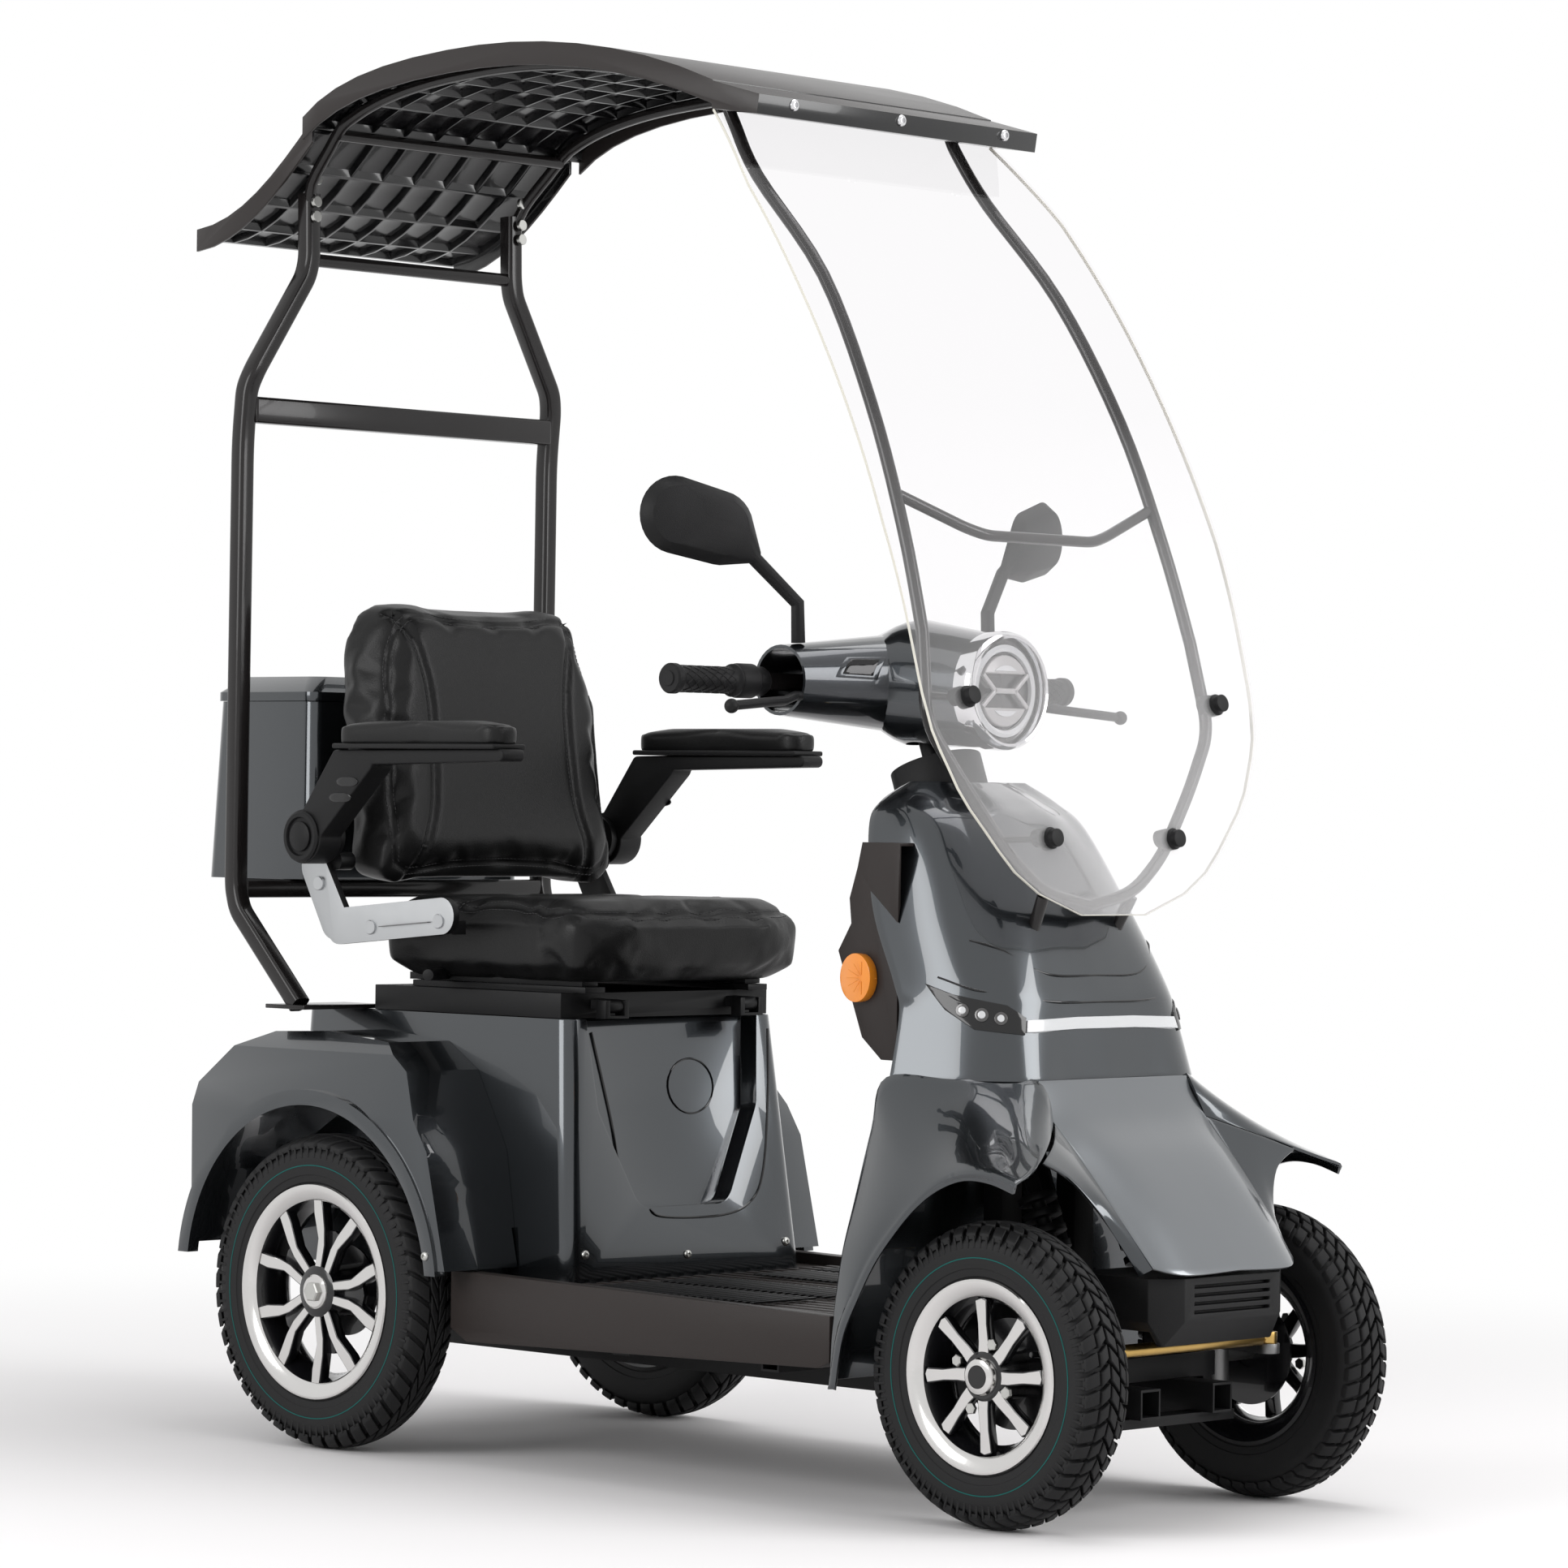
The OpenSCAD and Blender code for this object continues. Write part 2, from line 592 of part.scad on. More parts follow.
// Wall between the wheels and the rider's feet
module foot_wall() {
    intersection() {
        side_slab(-front_arch_y, front_arch_y) polygon([for (p = [[337, 152], [337, 245], [345, 300],
            [352, 350], [358, 461], [360, 522.4], [364, 522.4], [362, 461], [356, 350], [349, 300],
            [341, 245], [341, 152]]) [p[0] + mid_x, p[1]]]);
        front_slab(mid_x + 300, mid_x + 400) difference() {
            polygon([[-298, 152], [-293, 270], [-273, 375], [-248, 461], [-227, 522.4], [227, 522.4],
                [248, 461], [273, 375], [293, 270], [298, 152]]);
            translate([-rail_y - rail / 2 - fit, 0])
                square([2 * rail_y + rail + 2 * fit, rail_z + rail / 2 + fit]);
        }
    }
}

// Rows of the nose from its top to its front: centre, shoulder and edge
hood_rows = [
    [[519.5, 0, 522.4], [519.5, 92, 522.4], [519, 137, 522.4]],
    [[556, 0, 476], [554, 94, 476], [548, 141, 474]],
    [[610, 0, 432], [608, 92, 431], [600, 139, 421]],
    [[664, 0, 376], [662, 90, 375], [650, 136, 365]],
    [[722, 0, 303], [719, 93, 301], [697, 130, 309]]];
// Rows of the nose's side under that edge: edge, middle and lip
skirt_rows = [
    [[549, 141, 472.5], [588, 187, 452], [614, 235, 432.5]],
    [[600, 138, 420.5], [612, 165, 417], [622, 190, 409]],
    [[650, 135, 364.5], [651, 146, 362], [648, 153, 357]],
    [[697, 129, 308.5], [692, 134, 305], [684, 137, 301]]];
hood_low = 298;
module nose_hood() color("#5d646a") {
    panel([for (r = hood_rows) [for (i = [-2:2]) let(p = r[abs(i)])
        [p[0] + mid_x, sign(i) * p[1], p[2]]]], skin);
    both_sides() panel([for (r = skirt_rows) [for (p = r) p + [mid_x, 0, 0]]], skin);
}

module front_grille() color(black) difference() {
    hull() {
        block([mid_x + 560, -124, 246], [mid_x + 686, 124, hood_low - fit]);
        block([mid_x + 600, -88, 246], [mid_x + 713, 88, hood_low - fit]);
        block([mid_x + 560, -100, 216], [mid_x + 690, 100, 240]);
    }
    for (z = [255:10:285]) block([mid_x + 704, -70, z], [mid_x + 715, 70, z + 4]);
    block([mid_x + 500, -200, 200], [mid_x + 680, 200, 234]);
}

module light_bar() color("#dfe3e6") difference() {
    block([mid_x + 480, -128, 590], [mid_x + 513, 128, 606]);
    shield_loft([for (s = shield_sections) inset(s, -fit)]);
}

// Inner cover behind the shield, with a pocket over the rider's knees
module cover_outline() polygon([for (p = [[258, 806], [249, 775], [234, 737], [238, 706],
    [213, 672], [262, 567], [300, 541], [372, 541], [372, 806]]) [p[0] + mid_x, p[1]]]);

module cover_plan(g) linear_extrude(1000) polygon([[mid_x + 200 + g, -161 + g],
    [mid_x + 372, -188 + g], [mid_x + 372, 188 - g], [mid_x + 200 + g, 161 - g]]);

module glove_box() color(satin) difference() {
    intersection() {
        side_slab(-190, 190) cover_outline();
        cover_plan(0);
    }
    intersection() {
        side_slab(-190, 190) offset(delta = -skin) cover_outline();
        cover_plan(skin);
    }
    shield_loft([for (s = shield_sections) inset(s, -fit)]);
    block([mid_x + 330, -200, 500], [mid_x + 400, 200, 900]);
    on_column(-120) cylinder(h = 200, r = column_r + fit);
    on_column(-300) cylinder(h = 300, r = stem_hole_r);
}

cover_slant = atan(27 / 172);
module side_reflectors() color("#f09a1c") both_sides()
    translate([mid_x + 262, 161 + 62 * tan(cover_slant) + fit, 640]) rotate([0, 0, cover_slant])
        rotate([-90, 0, 0]) cylinder(h = 12, r = 30);

stem_r = 14;
stem_hole_r = 20;
column_top = [mid_x + 218, 0, 915];
module on_column(h) translate(column_top) rotate([0, -rake, 0]) translate([0, 0, h]) children();

module column_cover() color(black) difference() {
    on_column(-70) cylinder(h = 58, r = column_r);
    on_column(-80) cylinder(h = 62, r = column_r - skin);
    on_column(-90) cylinder(h = 90, r = stem_hole_r);
}

// Roof

post_path = [[mid_x - 658, post_y, pedestal_z + 5.5], [mid_x - 782, post_y, 700], [mid_x - 790, post_y, 728],
    [mid_x - 791, post_y, 745], [mid_x - 789, post_y, 1330], [mid_x - 782, post_y, 1400],
    [mid_x - 776, post_y - 8, 1425], [mid_x - 768, 192, 1556], [mid_x - 767, 187, 1580],
    [mid_x - 769, 187, 1668]];
function square_outline(s, r) = [for (q = [0:3], a = [0:30:90])
    let(c = s / 2 - r, x = q == 0 || q == 3 ? c : -c, y = q < 2 ? c : -c)
    [x + r * cos(a + q * 90), y + r * sin(a + q * 90)]];

module roof_frame() color(black) {
    both_sides() sweep(post_path, square_outline(post, 6));
    both_sides() block([mid_x - 704, post_y - 120, pedestal_z + fit],
        [mid_x - 626, post_y + 20, pedestal_z + 6]);
    roof_tubes();
    block([mid_x - 795, -post_y + 8, 1354], [mid_x - 770, post_y - 8, 1389]);
    bar([mid_x - 767, -184, 1579], [mid_x - 767, 184, 1579], 9);
    // Carrier under the rear box
    block([mid_x - 802, -post_y + 8, 716], [mid_x - 778, post_y - 8, 740]);
    for (y = [-130, 130]) block([mid_x - 960, y - 12, 716], [mid_x - 802, y + 12, 740]);
    block([mid_x - 960, -118, 716], [mid_x - 936, 118, 740]);
}

function roof_curve() = concat(
    bezier([69, 1748], [-90, 1812], [-260, 1834], [-420, 1826], 8),
    [for (i = [1:6]) bezier([-420, 1826], [-560, 1820], [-650, 1800], [-703, 1760], 6)[i]]);
function visor_curve() = bezier([-703.3, 1759], [-780, 1690], [-850, 1632], [-940, 1626], 8);

// Tubes that follow the roof's underside and carry it on the posts
drop = rib_depth + frame_r + 2;
tube_y = roof_y - 52;
module roof_tubes() {
    path = [for (p = roof_curve()) if (p[0] < 60 && p[0] > -700) [p[0] + mid_x, tube_y, p[1] - drop]];
    tail = [[mid_x - 712, tube_y - 4, 1722], [mid_x - 752, tube_y - 10, 1706 - drop],
        [mid_x - 764, 189, 1650]];
    both_sides() bent_bar(concat(path, tail), frame_r);
    bar([mid_x - 690, -tube_y, 1740], [mid_x - 690, tube_y, 1740], frame_r);
}

module curve_band(curve, t) {
    pts = [for (p = curve) [p[0] + mid_x, p[1]]];
    polygon(concat(pts, [for (i = [len(pts) - 1:-1:0]) [pts[i][0], pts[i][1] - t]]));
}

module roof_skin(curve, y) {
    side_slab(-y, y) curve_band(curve, roof_t);
    both_sides() side_slab(y - roof_t, y) curve_band(curve, roof_rim);
    difference() {
        side_slab(-y + roof_t, y - roof_t) curve_band(curve, rib_depth);
        x0 = curve[len(curve) - 1][0] + mid_x;
        x1 = curve[0][0] + mid_x;
        for (x = [x0 + 6:rib_pitch:x1 - 8], yy = [-y + roof_t + 3:rib_pitch:y - 20])
            block([x, yy, 1500], [min(x + rib_pitch - 4, x1 - 4), min(yy + rib_pitch - 4, y - roof_t), 1900]);
    }
}

module roof_panel() color(satin) {
    roof_skin(roof_curve(), roof_y);
    side_slab(-roof_y, roof_y) polygon([[mid_x + 68, 1712], [mid_x + 68, 1747],
        [mid_x + 150, 1724], [mid_x + 146, 1700]]);
}

module rear_visor() color(satin) roof_skin(visor_curve(), 240);

// Windscreen

screen_curve = concat(bezier([71, 1711.3], [260, 1530], [400, 1270], [455, 1080], 10),
    [for (i = [1:6]) bezier([455, 1080], [480, 990], [516, 860], [520, 722], 6)[i]]);

module screen_front_outline(g) {
    offset(delta = -g) polygon([[-256, 1712], [-290, 1612], [-298, 1480], [-310, 1190], [-306, 990],
        [-297, 934], [-261, 861], [-185, 778], [-110, 732], [-60, 722], [60, 722], [110, 732],
        [185, 778], [261, 861], [297, 934], [306, 990], [310, 1190], [298, 1480], [290, 1612],
        [256, 1712]]);
}

// Four stand-offs hold the screen: y and z of each pair, and where its arm leaves the tube
standoffs = [[231, 981.5, [440, 256, 984]], [114, 814, [471, 158, 812]]];
standoff_r = 11;
screen_bolt_r = 4;
function screen_x(z) = lookup(z, [for (p = screen_curve) [p[1], p[0]]]);
module on_screen(y, z) translate([mid_x + screen_x(z), y, z])
    rotate([0, atan2(20, screen_x(z - 10) - screen_x(z + 10)), 0]) children();

module windscreen() color([0.85, 0.9, 0.95, 0.35]) difference() {
    intersection() {
        side_slab(-320, 320) polygon(concat([for (p = screen_curve) [p[0] + mid_x, p[1]]],
            [for (i = [len(screen_curve) - 1:-1:0])
                [screen_curve[i][0] + mid_x - screen_t, screen_curve[i][1] - 1]]));
        front_slab(mid_x, mid_x + 600) screen_front_outline(0);
    }
    for (s = standoffs) both_sides() on_screen(s[0], s[1])
        cylinder(h = 40, r = screen_bolt_r + fit, center = true);
}

screen_seat = screen_t + 1.2;
module screen_frame() color(black) {
    side = [for (p = [[9.2, tube_y, 1745.9], [18.8, tube_y, 1743], [40, 206, 1728], [56, 206, 1700],
        [105, 213, 1630], [225, 218, 1500], [320, 232, 1340], [385, 241, 1185], [426, 249, 1060],
        [447, 262, 950], [461, 210, 876], [474, 143, 793], [478, 84, 748], [479, 0, 732]])
        [p[0] + mid_x, p[1], p[2]]];
    both_sides() bent_bar(concat([side[0]], eased([for (i = [1:len(side) - 1]) side[i]])), frame_r);
    bent_bar([[mid_x + 366, -236, 1228], [mid_x + 386, -130, 1190], [mid_x + 392, -98, 1182],
        [mid_x + 392, 98, 1182], [mid_x + 386, 130, 1190], [mid_x + 366, 236, 1228]], frame_r - 1);
    both_sides() for (s = standoffs) {
        on_screen(s[0], s[1]) translate([0, 0, -screen_seat - 14]) cylinder(h = 14, r = standoff_r);
        bar([mid_x + screen_x(s[1]) - 18, s[0], s[1]], [mid_x + s[2][0], s[2][1], s[2][2]], 5);
    }
    // Feet on the shield
    difference() {
        both_sides() bar([mid_x + 477, 82, 744], [mid_x + 446, 74, 682], frame_r);
        translate([fit, 0, fit / 2]) shield_loft([for (s = shield_sections) inset(s, 0)]);
    }
}

module screen_mounts() color(silver) both_sides() for (s = standoffs) on_screen(s[0], s[1]) {
    translate([0, 0, fit]) cylinder(h = 15, r = standoff_r);
    translate([0, 0, fit - screen_seat]) cylinder(h = screen_seat, r = screen_bolt_r);
}

// Rear box

module box_volume(g, z0, z1) {
    hull() {
        translate([mid_x - 849, 0, z0]) linear_extrude(1) offset(r = 20 - g, $fn = 32)
            square([182, 346], center = true);
        translate([mid_x - 849, 0, z1 - 1]) linear_extrude(1) offset(r = 20 - g, $fn = 32)
            square([160, 330], center = true);
    }
}

box_hinge_x = mid_x - 741;
box_hinge_z = 984;
module hinge_barrel(y0, y1) translate([box_hinge_x, y1, box_hinge_z]) rotate([90, 0, 0])
    cylinder(h = y1 - y0, r = 5);

module rear_box() color(graphite) {
    box_shell();
    both_sides() hinge_barrel(60, 90);
    both_sides() block([mid_x - 750, 60, 972], [box_hinge_x + 2, 90, 980]);
}

module box_shell() difference() {
    box_volume(0, 740.5, 982);
    box_volume(skin, 745, 990);
}

module box_lid() color(satin) {
    hinge_barrel(-59, 59);
    block([mid_x - 755, -59, 983], [box_hinge_x, 59, 988]);
    hull() {
        translate([mid_x - 849, 0, 982.5]) linear_extrude(12) offset(r = 20, $fn = 32)
            square([166, 336], center = true);
        translate([mid_x - 849, 0, 1010]) linear_extrude(6) offset(r = 20, $fn = 32)
            square([120, 280], center = true);
    }
}

// Seat

module seat_base() color(black) {
    difference() {
        union() {
            block([mid_x - 610, -190, pedestal_z + fit], [mid_x - 252, 190, 604]);
            for (y = [-124, 124]) {
                block([mid_x - 252, y - 12, 582], [hinge_x, y + 12, hinge_z + 9]);
                translate([hinge_x, y + 12, hinge_z]) rotate([90, 0, 0]) cylinder(h = 24, r = 9);
            }
        }
        block([mid_x - 600, -180, 560], [mid_x - 262, 180, 600]);
        translate([hinge_x, 150, hinge_z]) rotate([90, 0, 0]) cylinder(h = 300, r = 4 + run);
    }
    for (y = [-150, 150]) block([mid_x - 560, y - 18, 604], [mid_x - 230, y + 18, 612]);
}

// Fixed ears and pins that the seat base tips forward on
hinge_x = mid_x - 225;
hinge_z = 587;
module seat_hinges() color(black) for (y = [-124, 124]) {
    for (e = [-1, 1]) block([hinge_x - 8, y + e * 17 - 4, pedestal_z + fit],
        [hinge_x + 10, y + e * 17 + 4, hinge_z + 8]);
    block([hinge_x - 8, y - 21, pedestal_z + fit], [hinge_x + 10, y + 21, pedestal_z + 4]);
    translate([hinge_x, y + 20, hinge_z]) rotate([90, 0, 0]) cylinder(h = 40, r = 4);
}

module seat_slide() color(black) {
    for (y = [-150, 150]) block([mid_x - 570, y - 14, 612.5], [mid_x - 240, y + 14, 622]);
    block([mid_x - 540, -170, 622], [mid_x - 260, 170, 629.5]);
    bar([mid_x - 500, -160, 621.5], [mid_x - 460, -232, 621.5], 7.5);
}

module seat_cushion() color(black) hull() {
    for (x = [mid_x - 570, mid_x - 215], y = [-seat_w / 2 + 30, seat_w / 2 - 30])
        translate([x, y, seat_z]) cylinder(h = 64, r1 = 20, r2 = 26, $fn = 32);
    for (x = [mid_x - 560, mid_x - 245], y = [-seat_w / 2 + 50, seat_w / 2 - 50])
        translate([x, y, seat_z]) cylinder(h = 84, r = 26, $fn = 32);
    for (y = [-seat_w / 2 + 90, seat_w / 2 - 90])
        translate([mid_x - 205, y, seat_z + 4]) cylinder(h = 58, r1 = 30, r2 = 40, $fn = 32);
}

module backrest() color(black) hull() {
    for (s = [-1, 1]) translate([mid_x - 690, s * (seat_w / 2 - 88), backrest_top - 62])
        rotate([0, 90 + 10, 0]) cylinder(h = 66, r = 60, $fn = 32);
    for (s = [-1, 1]) translate([mid_x - 668, s * (seat_w / 2 - 53), backrest_top - 160])
        rotate([0, 90 + 10, 0]) cylinder(h = 66, r = 50, $fn = 32);
    for (s = [-1, 1]) translate([mid_x - 640, s * (seat_w / 2 - 35), 770])
        rotate([0, 90 + 10, 0]) cylinder(h = 70, r = 32, $fn = 32);
}

arm_pivot_x = mid_x - 640;
module side_brackets() color(silver) both_sides() {
    difference() {
        side_slab(bracket_y - 16, bracket_y - 6) hull() {
            translate([mid_x - 662, 760]) circle(24, $fn = 32);
            translate([mid_x - 620, 690]) circle(26, $fn = 32);
        }
    }
    side_slab(bracket_y - 16, bracket_y - 6) hull() {
        translate([mid_x - 610, 682]) circle(24, $fn = 32);
        translate([mid_x - 410, 700]) circle(24, $fn = 32);
    }
    side_slab(bracket_y - 16, bracket_y - 6) hull() {
        translate([mid_x - 655, 780]) circle(24, $fn = 32);
        translate([arm_pivot_x, arm_pivot_z]) circle(30, $fn = 32);
    }
    translate([arm_pivot_x, bracket_y + 12, arm_pivot_z]) rotate([90, 0, 0]) cylinder(h = 20, r = 8);
    block([mid_x - 560, seat_w / 2 - 3.7, 676], [mid_x - 400, bracket_y - 16, 694]);
    translate([mid_x - 628, bracket_y - 15, 767.9]) rotate([90, 0, 0]) cylinder(h = 24.7, r = 12);
}

module arm() difference() {
    arm_body();
    translate([arm_pivot_x, bracket_y + 14, arm_pivot_z]) rotate([90, 0, 0])
        cylinder(h = 30, r = 8 + run);
}

module arm_body() {
    side_slab(bracket_y - 5, bracket_y + 34) {
        translate([arm_pivot_x, arm_pivot_z]) circle(36);
        hull() {
            translate([arm_pivot_x + 10, arm_pivot_z + 10]) circle(24, $fn = 32);
            translate([mid_x - 520, 900]) circle(16, $fn = 32);
            translate([mid_x - 575, 905]) circle(10, $fn = 32);
        }
        hull() {
            translate([mid_x - 565, 905]) circle(10, $fn = 32);
            translate([mid_x - 262, 909]) circle(8, $fn = 32);
        }
    }
}

module arm_pad() hull() for (x = [mid_x - 552, mid_x - 285], y = [arm_y - 7, arm_y + 5])
    translate([x, y, 917 + fit]) cylinder(h = 34, r = 25, $fn = 32);

module left_arm() color(black) arm();
module right_arm() color(black) mirror([0, 1, 0]) arm();
module left_pad() color(black) arm_pad();
module right_pad() color(black) mirror([0, 1, 0]) arm_pad();

// Handlebar head

bar_x = mid_x + 115;
bar_z = 1003;
cowl_end = 192;
lamp_x = mid_x + 324 + fit;
module steering_stem() color(black) {
    on_column(-735) cylinder(h = 813, r = stem_r);
    on_column(-735) translate([-14, -60, 0]) cube([28, 74, 10]);
}

module handlebar() color(black) {
    translate([bar_x, -bar_half + 4, bar_z]) rotate([-90, 0, 0]) cylinder(h = 2 * bar_half - 8, r = 11);
    block([bar_x - 11, -25, bar_z - 9.5], [lamp_x - fit, 25, bar_z + 10]);
}

module grips() color(black) both_sides() difference() {
    translate([bar_x, 253, bar_z]) rotate([-90, 0, 0]) cylinder(h = bar_half - 253, r = 16.5);
    translate([bar_x, 250, bar_z]) rotate([-90, 0, 0]) cylinder(h = bar_half - 254, r = 11 + run);
}

module brake_levers() color(black) both_sides() {
    bent_bar([[bar_x + 56, cowl_end + fit, 985], [bar_x + 56, cowl_end + 10, 985],
        [bar_x + 85, 250, 978], [bar_x + 100, 352, 970]], 6);
    translate([bar_x + 102, 360, 969]) sphere(9);
}

module cowl_volume(g) {
    hull() {
        translate([mid_x + 310, 0, 995]) rotate([0, 90, 0]) cylinder(h = 14, r = 70 - g, $fn = 32);
        translate([mid_x + 200, 0, 1005]) sphere(80 - g, $fn = 32);
        translate([mid_x + 120, 0, 1010]) sphere(50 - g, $fn = 24);
    }
    both_sides() hull() {
        translate([mid_x + 170, 0, 1005]) rotate([-90, 0, 0]) cylinder(h = 20, r = 62 - g, $fn = 32);
        translate([mid_x + 135, cowl_end - 12, 1005]) rotate([-90, 0, 0])
            cylinder(h = 12 + (g > 0 ? 1 : 0), r = 44 - g, $fn = 32);
    }
}

module head_cowl() color(graphite) difference() {
    cowl_volume(0);
    cowl_volume(skin);
    on_column(-60) cylinder(h = 90, r = 30);
    translate([bar_x, -300, bar_z]) rotate([-90, 0, 0]) cylinder(h = 600, r = 20);
}

module headlamp() color(silver) difference() {
    translate([lamp_x, 0, 995]) rotate([0, 90, 0]) cylinder(h = 24, r1 = 74, r2 = 70);
    translate([lamp_x + 20.5, 0, 995]) rotate([0, 90, 0]) cylinder(h = 10, r = 62);
}

module mirrors() color(black) both_sides() {
    bent_bar([[mid_x + 150, 176, 1051.5], [mid_x + 148, 176, 1100], [mid_x + 126, 228, 1152],
        [mid_x + 124, 246, 1166]], 9);
    translate([mid_x + 114, 0, 0]) hull() {
        translate([0, 280, 1190]) rotate([0, 90, 20]) cylinder(h = 14, r1 = 46, r2 = 34, $fn = 32);
        translate([-18, 340, 1204]) rotate([0, 90, 20]) cylinder(h = 14, r1 = 48, r2 = 36, $fn = 32);
        translate([8, 236, 1160]) rotate([0, 90, 20]) cylinder(h = 8, r = 12, $fn = 32);
    }
}

main_frame();
front_axle();
drive_unit();
spring_units();
floor_pan();
seat_pedestal();
rear_fenders();
tail_lights();
leg_shield();
front_fenders();
nose_hood();
front_grille();
light_bar();
glove_box();
side_reflectors();
column_cover();
roof_frame();
roof_panel();
rear_visor();
screen_frame();
windscreen();
screen_mounts();
rear_box();
box_lid();
seat_hinges();
seat_base();
seat_slide();
seat_cushion();
backrest();
side_brackets();
left_arm();
right_arm();
left_pad();
right_pad();
steering_stem();
handlebar();
grips();
brake_levers();
head_cowl();
headlamp();
mirrors();
left_knuckle();
right_knuckle();
tie_rod();
front_left_rim();
front_left_tyre();
front_right_rim();
front_right_tyre();
rear_left_rim();
rear_left_tyre();
rear_right_rim();
rear_right_tyre();
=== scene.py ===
import bmesh
import bpy
import json
import math
from mathutils import Matrix, Vector
from mathutils.bvhtree import BVHTree
from mathutils.kdtree import KDTree


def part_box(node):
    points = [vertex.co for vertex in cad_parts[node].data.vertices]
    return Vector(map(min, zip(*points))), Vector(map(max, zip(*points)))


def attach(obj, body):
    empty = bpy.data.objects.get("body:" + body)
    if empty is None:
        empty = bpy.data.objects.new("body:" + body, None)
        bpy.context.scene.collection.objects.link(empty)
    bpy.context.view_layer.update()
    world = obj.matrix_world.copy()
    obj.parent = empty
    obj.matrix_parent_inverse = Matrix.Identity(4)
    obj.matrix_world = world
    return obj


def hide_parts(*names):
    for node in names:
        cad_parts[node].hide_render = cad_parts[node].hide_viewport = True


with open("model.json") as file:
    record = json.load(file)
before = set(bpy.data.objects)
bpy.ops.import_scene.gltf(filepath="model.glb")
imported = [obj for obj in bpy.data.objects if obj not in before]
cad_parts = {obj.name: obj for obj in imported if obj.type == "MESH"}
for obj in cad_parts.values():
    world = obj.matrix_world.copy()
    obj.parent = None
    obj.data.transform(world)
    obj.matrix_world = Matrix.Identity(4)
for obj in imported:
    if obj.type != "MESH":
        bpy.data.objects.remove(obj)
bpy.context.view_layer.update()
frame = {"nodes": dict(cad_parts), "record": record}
nodes = frame["nodes"]
scene = bpy.context.scene
midX = 0.1093                      # middle of the wheelbase, in metres from the origin
frontX = midX + 0.5595
rearX = midX - 0.5595
nodeBody = {name: body for body, names in frame["record"]["behaviour"]["bodies"].items() for name in names}
print("frame loaded:", len(nodes), "nodes")


def link(tree, a, b):
    tree.links.new(a, b)


def groupTree(name, inputs, outputs):
    tree = bpy.data.node_groups.new(name, "ShaderNodeTree")
    for label, kind, value in inputs:
        sock = tree.interface.new_socket(label, in_out="INPUT", socket_type=kind)
        if value is not None:
            sock.default_value = value
    for label, kind in outputs:
        tree.interface.new_socket(label, in_out="OUTPUT", socket_type=kind)
    start = tree.nodes.new("NodeGroupInput")
    end = tree.nodes.new("NodeGroupOutput")
    return tree, start, end


def buildToneGroup():
    # slow patches of lighter and darker finish, for colour and roughness
    tree, start, end = groupTree("finishTone", [
        ("Color", "NodeSocketColor", (0.5, 0.5, 0.5, 1)), ("Scale", "NodeSocketFloat", 6.0),
        ("Amount", "NodeSocketFloat", 0.15), ("Roughness", "NodeSocketFloat", 0.4),
        ("Spread", "NodeSocketFloat", 0.08)], [("Color", "NodeSocketColor"), ("Roughness", "NodeSocketFloat")])
    coord = tree.nodes.new("ShaderNodeTexCoord")
    noise = tree.nodes.new("ShaderNodeTexNoise")
    noise.inputs["Detail"].default_value = 5
    link(tree, coord.outputs["Object"], noise.inputs["Vector"])
    link(tree, start.outputs["Scale"], noise.inputs["Scale"])
    centred = tree.nodes.new("ShaderNodeMath")
    centred.operation = "SUBTRACT"
    centred.inputs[1].default_value = 0.5
    link(tree, noise.outputs["Fac"], centred.inputs[0])
    gain = tree.nodes.new("ShaderNodeMath")
    gain.operation = "MULTIPLY_ADD"
    gain.inputs[2].default_value = 1.0
    link(tree, centred.outputs[0], gain.inputs[0])
    link(tree, start.outputs["Amount"], gain.inputs[1])
    tint = tree.nodes.new("ShaderNodeVectorMath")
    tint.operation = "SCALE"
    link(tree, start.outputs["Color"], tint.inputs[0])
    link(tree, gain.outputs[0], tint.inputs["Scale"])
    link(tree, tint.outputs[0], end.inputs["Color"])
    rough = tree.nodes.new("ShaderNodeMath")
    rough.operation = "MULTIPLY_ADD"
    link(tree, centred.outputs[0], rough.inputs[0])
    link(tree, start.outputs["Spread"], rough.inputs[1])
    link(tree, start.outputs["Roughness"], rough.inputs[2])
    link(tree, rough.outputs[0], end.inputs["Roughness"])
    return tree


def buildGrainGroup():
    # fine leather or moulded grain, as a height
    tree, start, end = groupTree("mouldGrain", [
        ("Scale", "NodeSocketFloat", 900.0), ("Coarse", "NodeSocketFloat", 0.35)],
        [("Height", "NodeSocketFloat")])
    coord = tree.nodes.new("ShaderNodeTexCoord")
    cells = tree.nodes.new("ShaderNodeTexVoronoi")
    link(tree, coord.outputs["Object"], cells.inputs["Vector"])
    link(tree, start.outputs["Scale"], cells.inputs["Scale"])
    noise = tree.nodes.new("ShaderNodeTexNoise")
    noise.inputs["Detail"].default_value = 3
    link(tree, coord.outputs["Object"], noise.inputs["Vector"])
    half = tree.nodes.new("ShaderNodeMath")
    half.operation = "MULTIPLY"
    half.inputs[1].default_value = 0.4
    link(tree, start.outputs["Scale"], half.inputs[0])
    link(tree, half.outputs[0], noise.inputs["Scale"])
    mix = tree.nodes.new("ShaderNodeMix")
    link(tree, start.outputs["Coarse"], mix.inputs["Factor"])
    link(tree, cells.outputs["Distance"], mix.inputs["A"])
    link(tree, noise.outputs["Fac"], mix.inputs["B"])
    link(tree, mix.outputs["Result"], end.inputs["Height"])
    return tree


toneGroup = buildToneGroup()
grainGroup = buildGrainGroup()


